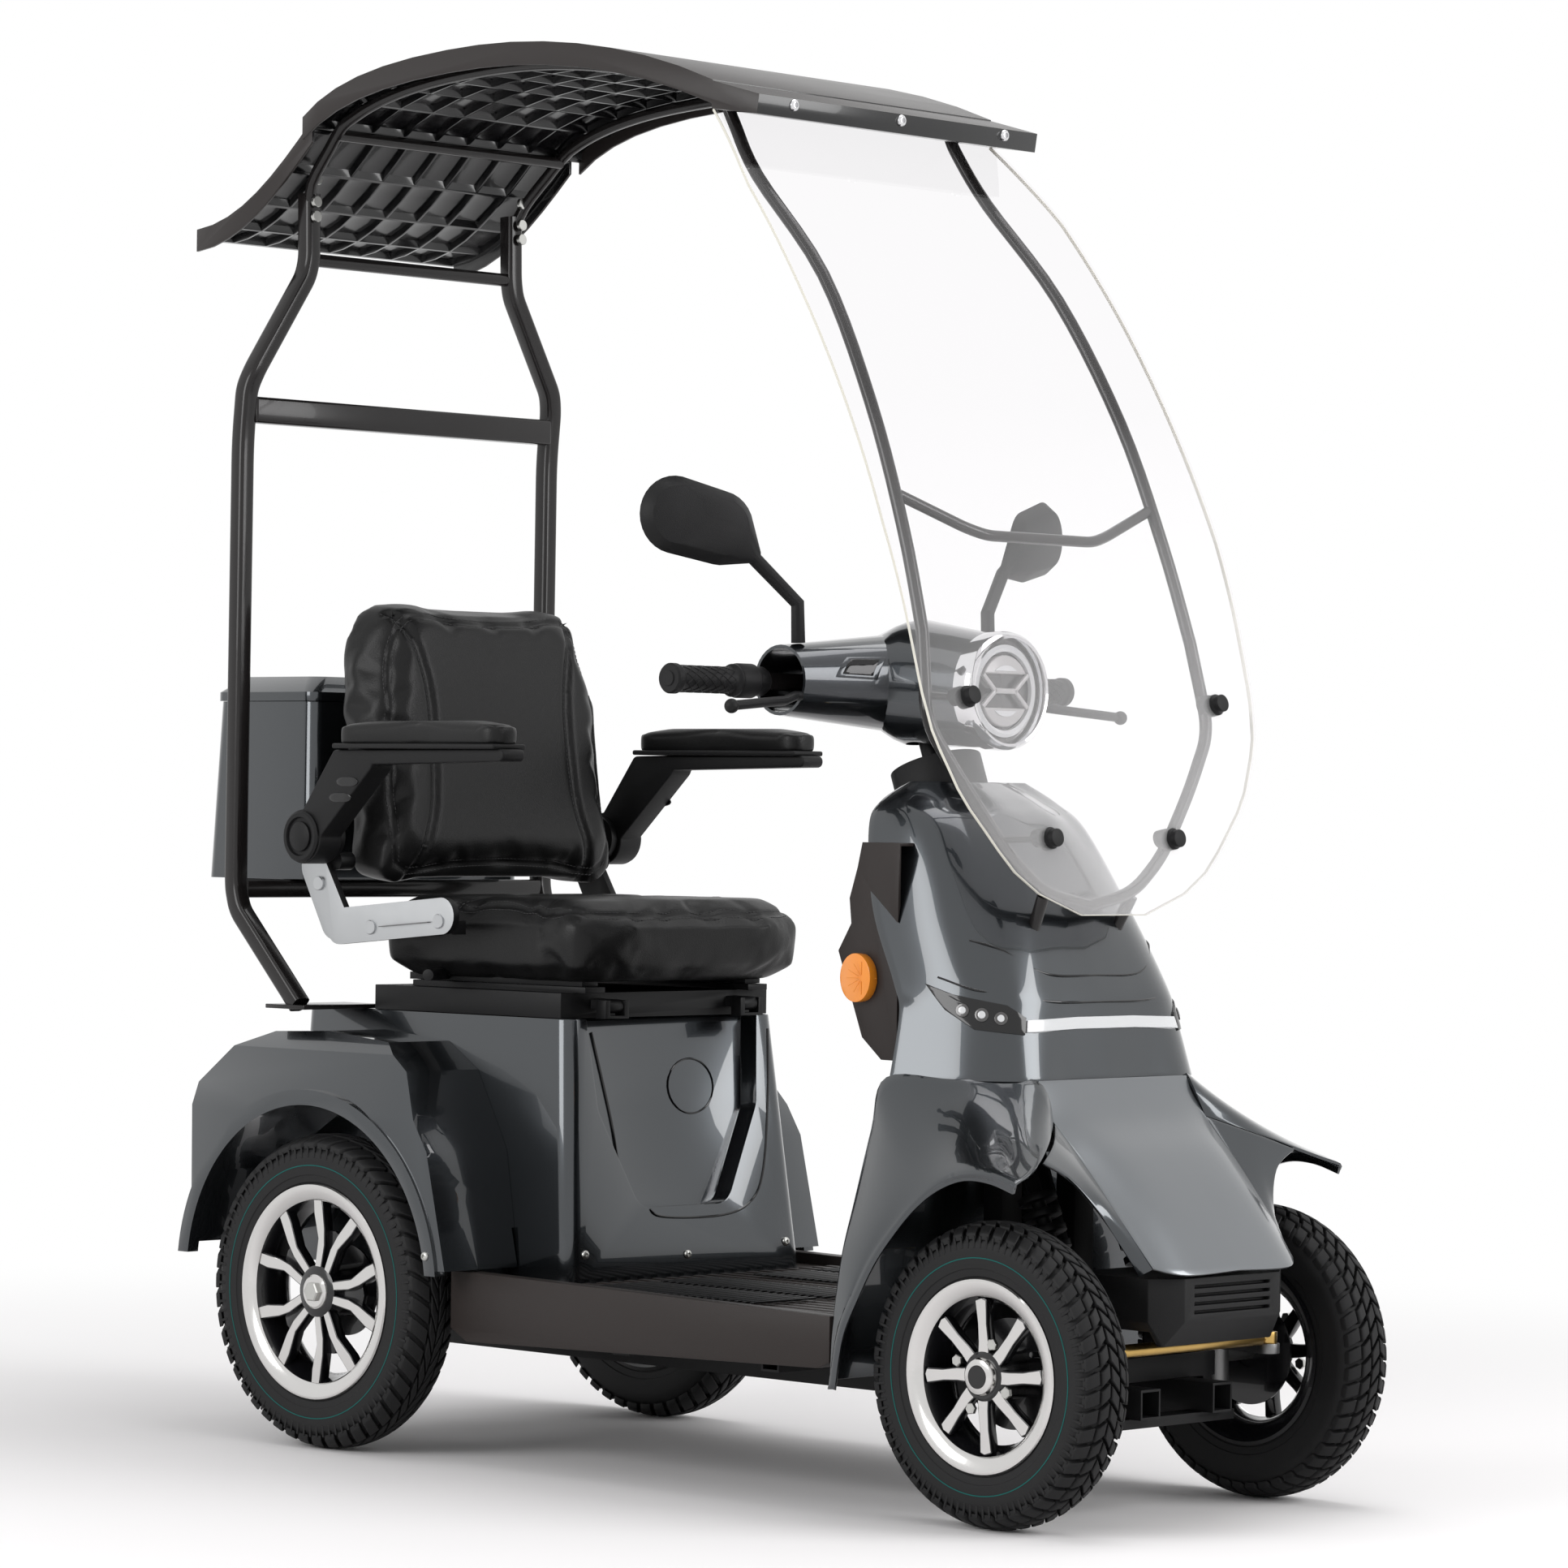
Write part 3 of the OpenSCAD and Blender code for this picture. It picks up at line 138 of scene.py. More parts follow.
def finish(name, color, roughness, metallic=0.0, coat=0.0, coatRoughness=0.03, tone=0.15, toneScale=6.0,
           spread=0.06, grain=0.0, grainScale=900.0, coarse=0.35, ior=1.5, sheen=0.0, specular=0.5):
    mat = bpy.data.materials.new(name)
    mat.use_nodes = True
    tree = mat.node_tree
    shader = tree.nodes["Principled BSDF"]
    shader.inputs["Metallic"].default_value = metallic
    shader.inputs["IOR"].default_value = ior
    shader.inputs["Specular IOR Level"].default_value = specular
    shader.inputs["Coat Weight"].default_value = coat
    shader.inputs["Coat Roughness"].default_value = coatRoughness
    shader.inputs["Sheen Weight"].default_value = sheen
    vary = tree.nodes.new("ShaderNodeGroup")
    vary.node_tree = toneGroup
    vary.inputs["Color"].default_value = (*color, 1)
    vary.inputs["Scale"].default_value = toneScale
    vary.inputs["Amount"].default_value = tone
    vary.inputs["Roughness"].default_value = roughness
    vary.inputs["Spread"].default_value = spread
    link(tree, vary.outputs["Color"], shader.inputs["Base Color"])
    link(tree, vary.outputs["Roughness"], shader.inputs["Roughness"])
    if grain:
        pores = tree.nodes.new("ShaderNodeGroup")
        pores.node_tree = grainGroup
        pores.inputs["Scale"].default_value = grainScale
        pores.inputs["Coarse"].default_value = coarse
        bump = tree.nodes.new("ShaderNodeBump")
        bump.inputs["Strength"].default_value = grain
        bump.inputs["Distance"].default_value = 0.0006
        link(tree, pores.outputs["Height"], bump.inputs["Height"])
        link(tree, bump.outputs["Normal"], shader.inputs["Normal"])
    return mat


bodyPaint = finish("bodyPaint", (0.040, 0.045, 0.050), 0.22, metallic=0.85, coat=1.0, coatRoughness=0.02, tone=0.08)
nosePaint = finish("nosePaint", (0.15, 0.16, 0.17), 0.3, metallic=0.8, coat=0.8, tone=0.06)
tubePaint = finish("tubePaint", (0.012, 0.0105, 0.0105), 0.2, coat=0.15, tone=0.2, toneScale=14, specular=0.28)
framePaint = finish("framePaint", (0.006, 0.006, 0.0065), 0.45, tone=0.3, toneScale=20, grain=0.15, specular=0.2)
sillPlastic = finish("sillPlastic", (0.026, 0.021, 0.0195), 0.42, tone=0.15, grain=0.25, grainScale=1500,
                     specular=0.22)
matPlastic = finish("matPlastic", (0.0075, 0.0075, 0.008), 0.5, tone=0.2, grain=0.35, grainScale=1200,
                    specular=0.2)
roofPlastic = finish("roofPlastic", (0.026, 0.022, 0.021), 0.3, tone=0.12, grain=0.12, grainScale=1500,
                     specular=0.28)
roofUnder = finish("roofUnder", (0.006, 0.006, 0.0065), 0.2, coat=0.3, tone=0.2, specular=0.4)
rimPlastic = finish("rimPlastic", (0.018, 0.0185, 0.02), 0.6, tone=0.15, grain=0.6, grainScale=1100,
                    specular=0.3)
blackGloss = finish("blackGloss", (0.004, 0.004, 0.0045), 0.1, coat=0.15, tone=0.1, specular=0.4)
seatLeather = finish("seatLeather", (0.0058, 0.0058, 0.006), 0.38, tone=0.25, toneScale=9, grain=0.5,
                     grainScale=700, coarse=0.5, specular=0.24)
tyreRubber = finish("tyreRubber", (0.0085, 0.0085, 0.009), 0.6, tone=0.35, toneScale=18, grain=0.2,
                    specular=0.25)
gripRubber = finish("gripRubber", (0.007, 0.007, 0.0075), 0.5, tone=0.2, grain=0.3, specular=0.2)
tealLine = finish("tealLine", (0.0, 0.10, 0.09), 0.6, tone=0.1, specular=0.2)
machined = finish("machined", (0.62, 0.61, 0.6), 0.16, metallic=1.0, tone=0.05, toneScale=30)
brightChrome = finish("brightChrome", (0.7, 0.7, 0.71), 0.07, metallic=1.0, tone=0.03)
blackRim = finish("blackRim", (0.005, 0.005, 0.006), 0.22, coat=0.4, tone=0.1, specular=0.35)
zincSteel = finish("zincSteel", (0.5, 0.5, 0.48), 0.3, metallic=1.0, tone=0.2, toneScale=60)
satinSteel = finish("satinSteel", (0.48, 0.49, 0.5), 0.34, metallic=1.0, tone=0.06, toneScale=40)
castMetal = finish("castMetal", (0.2, 0.2, 0.2), 0.45, metallic=1.0, tone=0.3, toneScale=40, grain=0.3)
goldZinc = finish("goldZinc", (0.5, 0.33, 0.11), 0.3, metallic=1.0, tone=0.35, toneScale=50)
redLens = finish("redLens", (0.42, 0.006, 0.02), 0.12, coat=0.6, tone=0.1)
amberLens = finish("amberLens", (0.85, 0.27, 0.015), 0.2, coat=0.5, tone=0.1)
paleLens = finish("paleLens", (0.62, 0.63, 0.64), 0.16, coat=0.5, tone=0.05)
frostLens = finish("frostLens", (0.42, 0.41, 0.41), 0.3, coat=0.4, tone=0.08)
lampDark = finish("lampDark", (0.07, 0.068, 0.068), 0.2, metallic=0.5, coat=0.6, tone=0.1)
mirrorGlass = finish("mirrorGlass", (0.7, 0.72, 0.74), 0.02, metallic=1.0, tone=0.02)
threadPale = finish("threadPale", (0.03, 0.03, 0.031), 0.6, tone=0.1)


def screenMaterial(name, tint, haze):
    # a clear sheet: mostly see-through, a mirror at a slant, and milkier low down and to the left
    mat = bpy.data.materials.new(name)
    mat.use_nodes = True
    tree = mat.node_tree
    tree.nodes.remove(tree.nodes["Principled BSDF"])
    out = tree.nodes["Material Output"]
    through = tree.nodes.new("ShaderNodeBsdfTransparent")
    through.inputs["Color"].default_value = (*tint, 1)
    gloss = tree.nodes.new("ShaderNodeBsdfGlossy")
    gloss.inputs["Roughness"].default_value = 0.02
    slant = tree.nodes.new("ShaderNodeFresnel")
    slant.inputs["IOR"].default_value = 1.4
    milk = tree.nodes.new("ShaderNodeBsdfDiffuse")
    milk.inputs["Color"].default_value = (0.95, 0.95, 0.95, 1)
    coord = tree.nodes.new("ShaderNodeTexCoord")
    parts = tree.nodes.new("ShaderNodeSeparateXYZ")
    link(tree, coord.outputs["Object"], parts.inputs[0])
    low = tree.nodes.new("ShaderNodeMapRange")
    low.inputs["From Min"].default_value = 1.35
    low.inputs["From Max"].default_value = 0.75
    low.inputs["To Max"].default_value = haze
    link(tree, parts.outputs["Z"], low.inputs["Value"])
    side = tree.nodes.new("ShaderNodeMapRange")
    side.inputs["From Min"].default_value = -0.3
    side.inputs["From Max"].default_value = 0.3
    side.inputs["To Min"].default_value = 0.45
    side.inputs["To Max"].default_value = 1.0
    link(tree, parts.outputs["Y"], side.inputs["Value"])
    amount = tree.nodes.new("ShaderNodeMath")
    amount.operation = "MULTIPLY"
    link(tree, low.outputs["Result"], amount.inputs[0])
    link(tree, side.outputs["Result"], amount.inputs[1])
    first = tree.nodes.new("ShaderNodeMixShader")
    link(tree, amount.outputs[0], first.inputs["Fac"])
    link(tree, through.outputs[0], first.inputs[1])
    link(tree, milk.outputs[0], first.inputs[2])
    second = tree.nodes.new("ShaderNodeMixShader")
    inside = tree.nodes.new("ShaderNodeNewGeometry")
    outward = tree.nodes.new("ShaderNodeMath")
    outward.operation = "SUBTRACT"
    outward.inputs[0].default_value = 1.0
    link(tree, inside.outputs["Backfacing"], outward.inputs[1])
    shine = tree.nodes.new("ShaderNodeMath")
    shine.operation = "MULTIPLY"
    link(tree, slant.outputs["Fac"], shine.inputs[0])
    link(tree, outward.outputs[0], shine.inputs[1])
    link(tree, shine.outputs[0], second.inputs["Fac"])
    link(tree, first.outputs[0], second.inputs[1])
    link(tree, gloss.outputs[0], second.inputs[2])
    link(tree, second.outputs[0], out.inputs["Surface"])
    return mat


screenGlass = screenMaterial("screenGlass", (0.99, 0.985, 0.99), 0.26)
screenEdge = finish("screenEdge", (0.72, 0.70, 0.62), 0.2, tone=0.05)
print("materials made:", len(bpy.data.materials))


def buildRepeatTree():
    # copies of a mesh in a row or round an axis, as one mesh
    tree = bpy.data.node_groups.new("repeatCopies", "GeometryNodeTree")
    for label, kind, way in (("Geometry", "NodeSocketGeometry", "INPUT"), ("Count", "NodeSocketInt", "INPUT"),
                             ("Step", "NodeSocketVector", "INPUT"), ("Shift", "NodeSocketVector", "INPUT"),
                             ("Material", "NodeSocketMaterial", "INPUT"),
                             ("Geometry", "NodeSocketGeometry", "OUTPUT")):
        tree.interface.new_socket(label, in_out=way, socket_type=kind)
    start = tree.nodes.new("NodeGroupInput")
    end = tree.nodes.new("NodeGroupOutput")
    points = tree.nodes.new("GeometryNodePoints")
    index = tree.nodes.new("GeometryNodeInputIndex")
    shift = tree.nodes.new("ShaderNodeVectorMath")
    shift.operation = "SCALE"
    turn = tree.nodes.new("ShaderNodeVectorMath")
    turn.operation = "SCALE"
    euler = tree.nodes.new("FunctionNodeEulerToRotation")
    copies = tree.nodes.new("GeometryNodeInstanceOnPoints")
    real = tree.nodes.new("GeometryNodeRealizeInstances")
    paint = tree.nodes.new("GeometryNodeSetMaterial")
    link(tree, start.outputs["Count"], points.inputs["Count"])
    link(tree, start.outputs["Shift"], shift.inputs[0])
    link(tree, index.outputs[0], shift.inputs["Scale"])
    link(tree, shift.outputs[0], points.inputs["Position"])
    link(tree, start.outputs["Step"], turn.inputs[0])
    link(tree, index.outputs[0], turn.inputs["Scale"])
    link(tree, turn.outputs[0], euler.inputs[0])
    link(tree, points.outputs[0], copies.inputs["Points"])
    link(tree, start.outputs["Geometry"], copies.inputs["Instance"])
    link(tree, euler.outputs[0], copies.inputs["Rotation"])
    link(tree, copies.outputs[0], real.inputs[0])
    link(tree, real.outputs[0], paint.inputs["Geometry"])
    link(tree, start.outputs["Material"], paint.inputs["Material"])
    link(tree, paint.outputs[0], end.inputs["Geometry"])
    return tree


def buildStitchTree():
    # short threads laid end to end along a curve
    tree = bpy.data.node_groups.new("stitchRow", "GeometryNodeTree")
    for label, kind, way in (("Geometry", "NodeSocketGeometry", "INPUT"), ("Length", "NodeSocketFloat", "INPUT"),
                             ("Radius", "NodeSocketFloat", "INPUT"), ("Gap", "NodeSocketFloat", "INPUT"),
                             ("Material", "NodeSocketMaterial", "INPUT"),
                             ("Geometry", "NodeSocketGeometry", "OUTPUT")):
        tree.interface.new_socket(label, in_out=way, socket_type=kind)
    start = tree.nodes.new("NodeGroupInput")
    end = tree.nodes.new("NodeGroupOutput")
    curve = tree.nodes.new("GeometryNodeMeshToCurve")
    points = tree.nodes.new("GeometryNodeCurveToPoints")
    points.mode = "LENGTH"
    thread = tree.nodes.new("GeometryNodeMeshCylinder")
    thread.inputs["Vertices"].default_value = 6
    copies = tree.nodes.new("GeometryNodeInstanceOnPoints")
    real = tree.nodes.new("GeometryNodeRealizeInstances")
    paint = tree.nodes.new("GeometryNodeSetMaterial")
    link(tree, start.outputs["Geometry"], curve.inputs["Mesh"])
    link(tree, curve.outputs[0], points.inputs["Curve"])
    link(tree, start.outputs["Gap"], points.inputs["Length"])
    link(tree, start.outputs["Radius"], thread.inputs["Radius"])
    link(tree, start.outputs["Length"], thread.inputs["Depth"])
    link(tree, points.outputs["Points"], copies.inputs["Points"])
    link(tree, thread.outputs["Mesh"], copies.inputs["Instance"])
    link(tree, points.outputs["Rotation"], copies.inputs["Rotation"])
    link(tree, copies.outputs[0], real.inputs[0])
    link(tree, real.outputs[0], paint.inputs["Geometry"])
    link(tree, start.outputs["Material"], paint.inputs["Material"])
    link(tree, paint.outputs[0], end.inputs["Geometry"])
    return tree


repeatTree = buildRepeatTree()
stitchTree = buildStitchTree()


def grow(piece, tree, **values):
    # runs a node tree on a piece and keeps the result as a plain mesh
    mod = piece.modifiers.new(tree.name, "NODES")
    mod.node_group = tree
    for item in tree.interface.items_tree:
        if item.item_type == "SOCKET" and item.in_out == "INPUT" and item.name in values:
            mod[item.identifier] = values[item.name]
    piece.data.update()
    return settle(piece)


def spot(x, y, z):
    # millimetres from the middle of the wheelbase, as a place in the frame
    return Vector((x / 1000 + midX, y / 1000, z / 1000))


def settle(piece):
    # applies every modifier and leaves a plain mesh
    bpy.context.view_layer.update()
    graph = bpy.context.evaluated_depsgraph_get()
    mesh = bpy.data.meshes.new_from_object(piece.evaluated_get(graph))
    piece.modifiers.clear()
    piece.data = mesh
    return piece


def smoothByAngle(piece, degrees=32):
    mesh = piece.data
    mesh.polygons.foreach_set("use_smooth", [True] * len(mesh.polygons))
    work = bmesh.new()
    work.from_mesh(mesh)
    limit = math.radians(degrees)
    for edge in work.edges:
        edge.smooth = len(edge.link_faces) != 2 or edge.calc_face_angle(0.0) < limit
    work.to_mesh(mesh)
    work.free()


def addMesh(name, verts, faces, *materials):
    mesh = bpy.data.meshes.new(name)
    mesh.from_pydata([tuple(v) for v in verts], [], faces)
    for material in materials:
        mesh.materials.append(material)
    mesh.polygons.foreach_set("use_smooth", [True] * len(mesh.polygons))
    mesh.update()
    piece = bpy.data.objects.new(name, mesh)
    scene.collection.objects.link(piece)
    return piece


def shape(piece, bevel=0.0, segments=2, thick=0.0, angle=30, levels=0, offset=-1.0):
    # thickness, rounded edges and finer faces, applied
    if levels:
        piece.modifiers.new("finer", "SUBSURF").levels = levels
    if thick:
        wall = piece.modifiers.new("wall", "SOLIDIFY")
        wall.thickness = thick
        wall.offset = offset
    if bevel:
        edge = piece.modifiers.new("edges", "BEVEL")
        edge.width = bevel
        edge.segments = segments
        edge.limit_method = "ANGLE"
        edge.angle_limit = math.radians(angle)
        edge.use_clamp_overlap = True
    settle(piece)
    smoothByAngle(piece, 36)
    return piece


def seat(piece, node):
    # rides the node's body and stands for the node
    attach(piece, nodeBody[node])
    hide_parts(node)
    return piece


def joined(name, pieces):
    # one mesh from several pieces, with their materials
    mesh = bpy.data.meshes.new(name)
    work = bmesh.new()
    slots = []
    for piece in pieces:
        places = []
        for material in piece.data.materials:
            if material not in slots:
                slots.append(material)
            places.append(slots.index(material))
        before = len(work.faces)
        work.from_mesh(piece.data)
        work.faces.ensure_lookup_table()
        for face in work.faces[before:]:
            face.material_index = places[face.material_index] if places else 0
    work.to_mesh(mesh)
    work.free()
    for material in slots:
        mesh.materials.append(material)
    for piece in pieces:
        bpy.data.objects.remove(piece)
    whole = bpy.data.objects.new(name, mesh)
    scene.collection.objects.link(whole)
    return whole


def mirrored(piece, name):
    # the same piece on the other side of the machine
    twin = piece.copy()
    twin.data = piece.data.copy()
    twin.name = name
    twin.data.transform(Matrix.Scale(-1, 4, (0, 1, 0)))
    twin.data.flip_normals()
    scene.collection.objects.link(twin)
    return twin


def mend(a, b, c, d, t):
    # a point of the smooth curve from b to c
    return 0.5 * ((2 * b) + (c - a) * t + (2 * a - 5 * b + 4 * c - d) * t * t + (3 * b - a - 3 * c + d) * t ** 3)


def smoothPath(points, steps=6, closed=False):
    pts = [Vector(p) for p in points]
    n = len(pts)
    out = []
    for i in range(n if closed else n - 1):
        near = [pts[(i + k) % n] if closed else pts[min(max(i + k, 0), n - 1)] for k in (-1, 0, 1, 2)]
        out += [mend(*near, s / steps) for s in range(steps)]
    return out if closed else out + [pts[-1]]


def bentPath(points, radius=0.04, steps=6):
    # straight runs with rounded corners
    pts = [Vector(p) for p in points]
    out = [pts[0]]
    for a, b, c in zip(pts, pts[1:], pts[2:]):
        reach = min(radius, (b - a).length * 0.45, (c - b).length * 0.45)
        p, q = b + (a - b).normalized() * reach, b + (c - b).normalized() * reach
        out += [p * (1 - t) ** 2 + b * 2 * t * (1 - t) + q * t * t for t in [s / steps for s in range(steps + 1)]]
    return out + [pts[-1]]


def roundOutline(radius, sides=14):
    return [(radius * math.cos(2 * math.pi * i / sides), radius * math.sin(2 * math.pi * i / sides))
            for i in range(sides)]


def boxOutline(width, height, corner, steps=3):
    out = []
    for q, (sx, sy) in enumerate(((1, 1), (-1, 1), (-1, -1), (1, -1))):
        for s in range(steps + 1):
            a = math.radians(90 * q + 90 * s / steps)
            out.append((sx * (width / 2 - corner) + corner * math.cos(a),
                        sy * (height / 2 - corner) + corner * math.sin(a)))
    return out


def sweepShape(name, path, outline, material, closed=False, up=(0, 0, 1), sizes=None):
    # carries an outline along a path without twisting it
    pts = [Vector(p) for p in path]
    n, m = len(pts), len(outline)
    turns = []
    for i in range(n):
        ahead = pts[(i + 1) % n] if closed or i < n - 1 else pts[i]
        behind = pts[i - 1] if closed or i > 0 else pts[i]
        turns.append((ahead - behind).normalized())
    side = Vector(up) - turns[0] * turns[0].dot(Vector(up))
    side = side.normalized() if side.length > 0.05 else turns[0].orthogonal().normalized()
    verts = []
    for i in range(n):
        if i:
            side = turns[i - 1].rotation_difference(turns[i]) @ side
            side = (side - turns[i] * turns[i].dot(side)).normalized()
        across = turns[i].cross(side)
        k = sizes[i] if sizes else 1.0
        verts += [pts[i] + across * (a * k) + side * (b * k) for a, b in outline]
    faces = [(i * m + j, i * m + (j + 1) % m, (i + 1) % n * m + (j + 1) % m, (i + 1) % n * m + j)
             for i in range(n if closed else n - 1) for j in range(m)]
    if not closed:
        faces += [tuple(range(m - 1, -1, -1)), tuple(range((n - 1) * m, n * m))]
    piece = addMesh(name, verts, faces, material)
    smoothByAngle(piece, 40)
    return piece


def tube(name, path, radius, material, sides=14, closed=False, sizes=None):
    return sweepShape(name, path, roundOutline(radius, sides), material, closed=closed, sizes=sizes)


def lathe(name, profile, material, centre, axis=(0, 1, 0), steps=64, closed=False, start=0.0):
    # turns a profile of radius and place along the axis
    lift = Vector(axis).normalized().to_track_quat("Z", "Y").to_matrix()
    m = len(profile)
    verts = [Vector(centre) + lift @ Vector((r * math.cos(a), r * math.sin(a), w))
             for a in [start + 2 * math.pi * i / steps for i in range(steps)] for r, w in profile]
    faces = [(i * m + j, (i + 1) % steps * m + j, (i + 1) % steps * m + (j + 1) % m, i * m + (j + 1) % m)
             for i in range(steps) for j in range(m if closed else m - 1)]
    piece = addMesh(name, verts, faces, material)
    work = bmesh.new()
    work.from_mesh(piece.data)
    bmesh.ops.remove_doubles(work, verts=work.verts, dist=0.000005)
    bmesh.ops.recalc_face_normals(work, faces=work.faces)
    work.to_mesh(piece.data)
    work.free()
    smoothByAngle(piece, 34)
    return piece


def disc(name, centre, axis, radius, depth, material, edge=0.0008, steps=32):
    # a round boss with softened edges, from centre along axis
    profile = [(0, 0), (radius, 0), (radius, depth - edge), (radius - edge, depth), (0, depth)]
    return lathe(name, profile, material, centre, axis, steps)


def hexNut(name, centre, axis, radius, depth, material):
    return lathe(name, [(0, 0), (radius, 0), (radius, depth * 0.8), (radius * 0.86, depth), (0, depth)],
                 material, centre, axis, 6)


def plate(name, outline, lo, hi, plane, material, bevel=0.001, segments=2, sides=None):
    # a flat outline given thickness: plane is side (x, z), front (y, z) or top (x, y)
    def put(a, b, c):
        return {"side": (a, c, b), "front": (c, a, b), "top": (a, b, c)}[plane]
    n = len(outline)
    verts = [put(a, b, lo) for a, b in outline] + [put(a, b, hi) for a, b in outline]
    faces = [tuple(range(n)), tuple(range(n, 2 * n))]
    faces += [(i, (i + 1) % n, n + (i + 1) % n, n + i) for i in range(n)]
    piece = addMesh(name, verts, faces, material, *([sides] if sides else []))
    if sides:
        for face in piece.data.polygons[2:]:
            face.material_index = 1
    work = bmesh.new()
    work.from_mesh(piece.data)
    bmesh.ops.recalc_face_normals(work, faces=work.faces)
    work.to_mesh(piece.data)
    work.free()
    return shape(piece, bevel=bevel, segments=segments)


def slab(name, lo, hi, material, bevel=0.001, segments=2):
    return plate(name, [(lo[0], lo[1]), (hi[0], lo[1]), (hi[0], hi[1]), (lo[0], hi[1])], lo[2], hi[2], "top",
                 material, bevel, segments)


def fineGrid(rows, along=4, across=4):
    # a smooth grid through a coarse one
    wide = [smoothPath(row, across) for row in rows]
    columns = [smoothPath(column, along) for column in zip(*wide)]
    return [list(row) for row in zip(*columns)]


def sheetPiece(name, rows, material, thick=0.0035, bevel=0.0008, offset=-1.0):
    # a panel on a grid of points, whose rows by columns turn outward
    n = len(rows[0])
    faces = [(i * n + j, (i + 1) * n + j, (i + 1) * n + j + 1, i * n + j + 1)
             for i in range(len(rows) - 1) for j in range(n - 1)]
    piece = addMesh(name, [p for row in rows for p in row], faces, material)
    return shape(piece, bevel=bevel, thick=thick, angle=50, offset=offset)


def keepShape(node, material, bevel=0.0012, angle=28, segments=2, smooth=32):
    # a merged, softened copy of a node's own mesh
    piece = nodes[node].copy()
    piece.data = nodes[node].data.copy()
    piece.name = node + "Body"
    for key in list(piece.keys()):
        if key.startswith("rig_"):
            del piece[key]
    scene.collection.objects.link(piece)
    piece.parent = None
    piece.data.materials.clear()
    piece.data.materials.append(material)
    work = bmesh.new()
    work.from_mesh(piece.data)
    bmesh.ops.remove_doubles(work, verts=work.verts, dist=0.00002)
    bmesh.ops.dissolve_limit(work, angle_limit=math.radians(0.6), verts=work.verts, edges=work.edges)
    work.to_mesh(piece.data)
    work.free()
    if bevel:
        edge = piece.modifiers.new("edges", "BEVEL")
        edge.width = bevel
        edge.segments = segments
        edge.limit_method = "ANGLE"
        edge.angle_limit = math.radians(angle)
        edge.use_clamp_overlap = True
    settle(piece)
    smoothByAngle(piece, smooth)
    return seat(piece, node)


def refine(names, material, **options):
    return [keepShape(one, material, **options) for one in names.split()]


refine("main_frame front_axle seat_hinges seat_base seat_slide steering_stem", framePaint)
refine("drive_unit column_cover front_grille", matPlastic)
refine("handlebar", tubePaint, bevel=0)
refine("seat_pedestal", bodyPaint, bevel=0.0025)
refine("floor_pan glove_box", sillPlastic)
refine("head_cowl", bodyPaint, bevel=0, smooth=40)
refine("left_knuckle right_knuckle", castMetal)
print("plain pieces made")


def ringPoint(radius, angle, w):
    # a point round the axle line, w outward
    return Vector((radius * math.cos(angle), w, radius * math.sin(angle)))


def drop(w, tyre):
    # how far the crown falls towards the shoulder
    return tyre["fall"] * (abs(w) / tyre["half"]) ** 2.4


def treadBlock(tyre, a0, a1, w0, w1, skew):
    # one raised block of the tread, following the crown
    verts, n = [], 3
    for height in (-tyre["depth"], 0.0):
        for i in range(n + 1):
            for j in range(n + 1):
                w = w0 + (w1 - w0) * j / n
                a = a0 + (a1 - a0) * i / n + skew * (w - (w0 + w1) / 2)
                verts.append(ringPoint(tyre["radius"] + height - drop(w, tyre), a, w))
    m = (n + 1) ** 2

    def at(i, j, top):
        return top * m + i * (n + 1) + j
    faces = []
    for i in range(n):
        for j in range(n):
            faces.append((at(i, j, 1), at(i, j + 1, 1), at(i + 1, j + 1, 1), at(i + 1, j, 1)))
            faces.append((at(i, j, 0), at(i + 1, j, 0), at(i + 1, j + 1, 0), at(i, j + 1, 0)))
        faces += [(at(i, 0, 0), at(i, 0, 1), at(i + 1, 0, 1), at(i + 1, 0, 0)),
                  (at(i, n, 0), at(i + 1, n, 0), at(i + 1, n, 1), at(i, n, 1)),
                  (at(0, i, 0), at(0, i + 1, 0), at(0, i + 1, 1), at(0, i, 1)),
                  (at(n, i, 0), at(n, i, 1), at(n, i + 1, 1), at(n, i + 1, 0))]
    block = addMesh("block", verts, faces, tyreRubber)
    return shape(block, bevel=0.0009, segments=1, angle=40)


frontTyre = {"radius": 0.182, "bead": 0.1016, "half": 0.0375, "fall": 0.014, "depth": 0.008, "count": 50}
rearTyre = {"radius": 0.206, "bead": 0.127, "half": 0.0375, "fall": 0.012, "depth": 0.008, "count": 46}


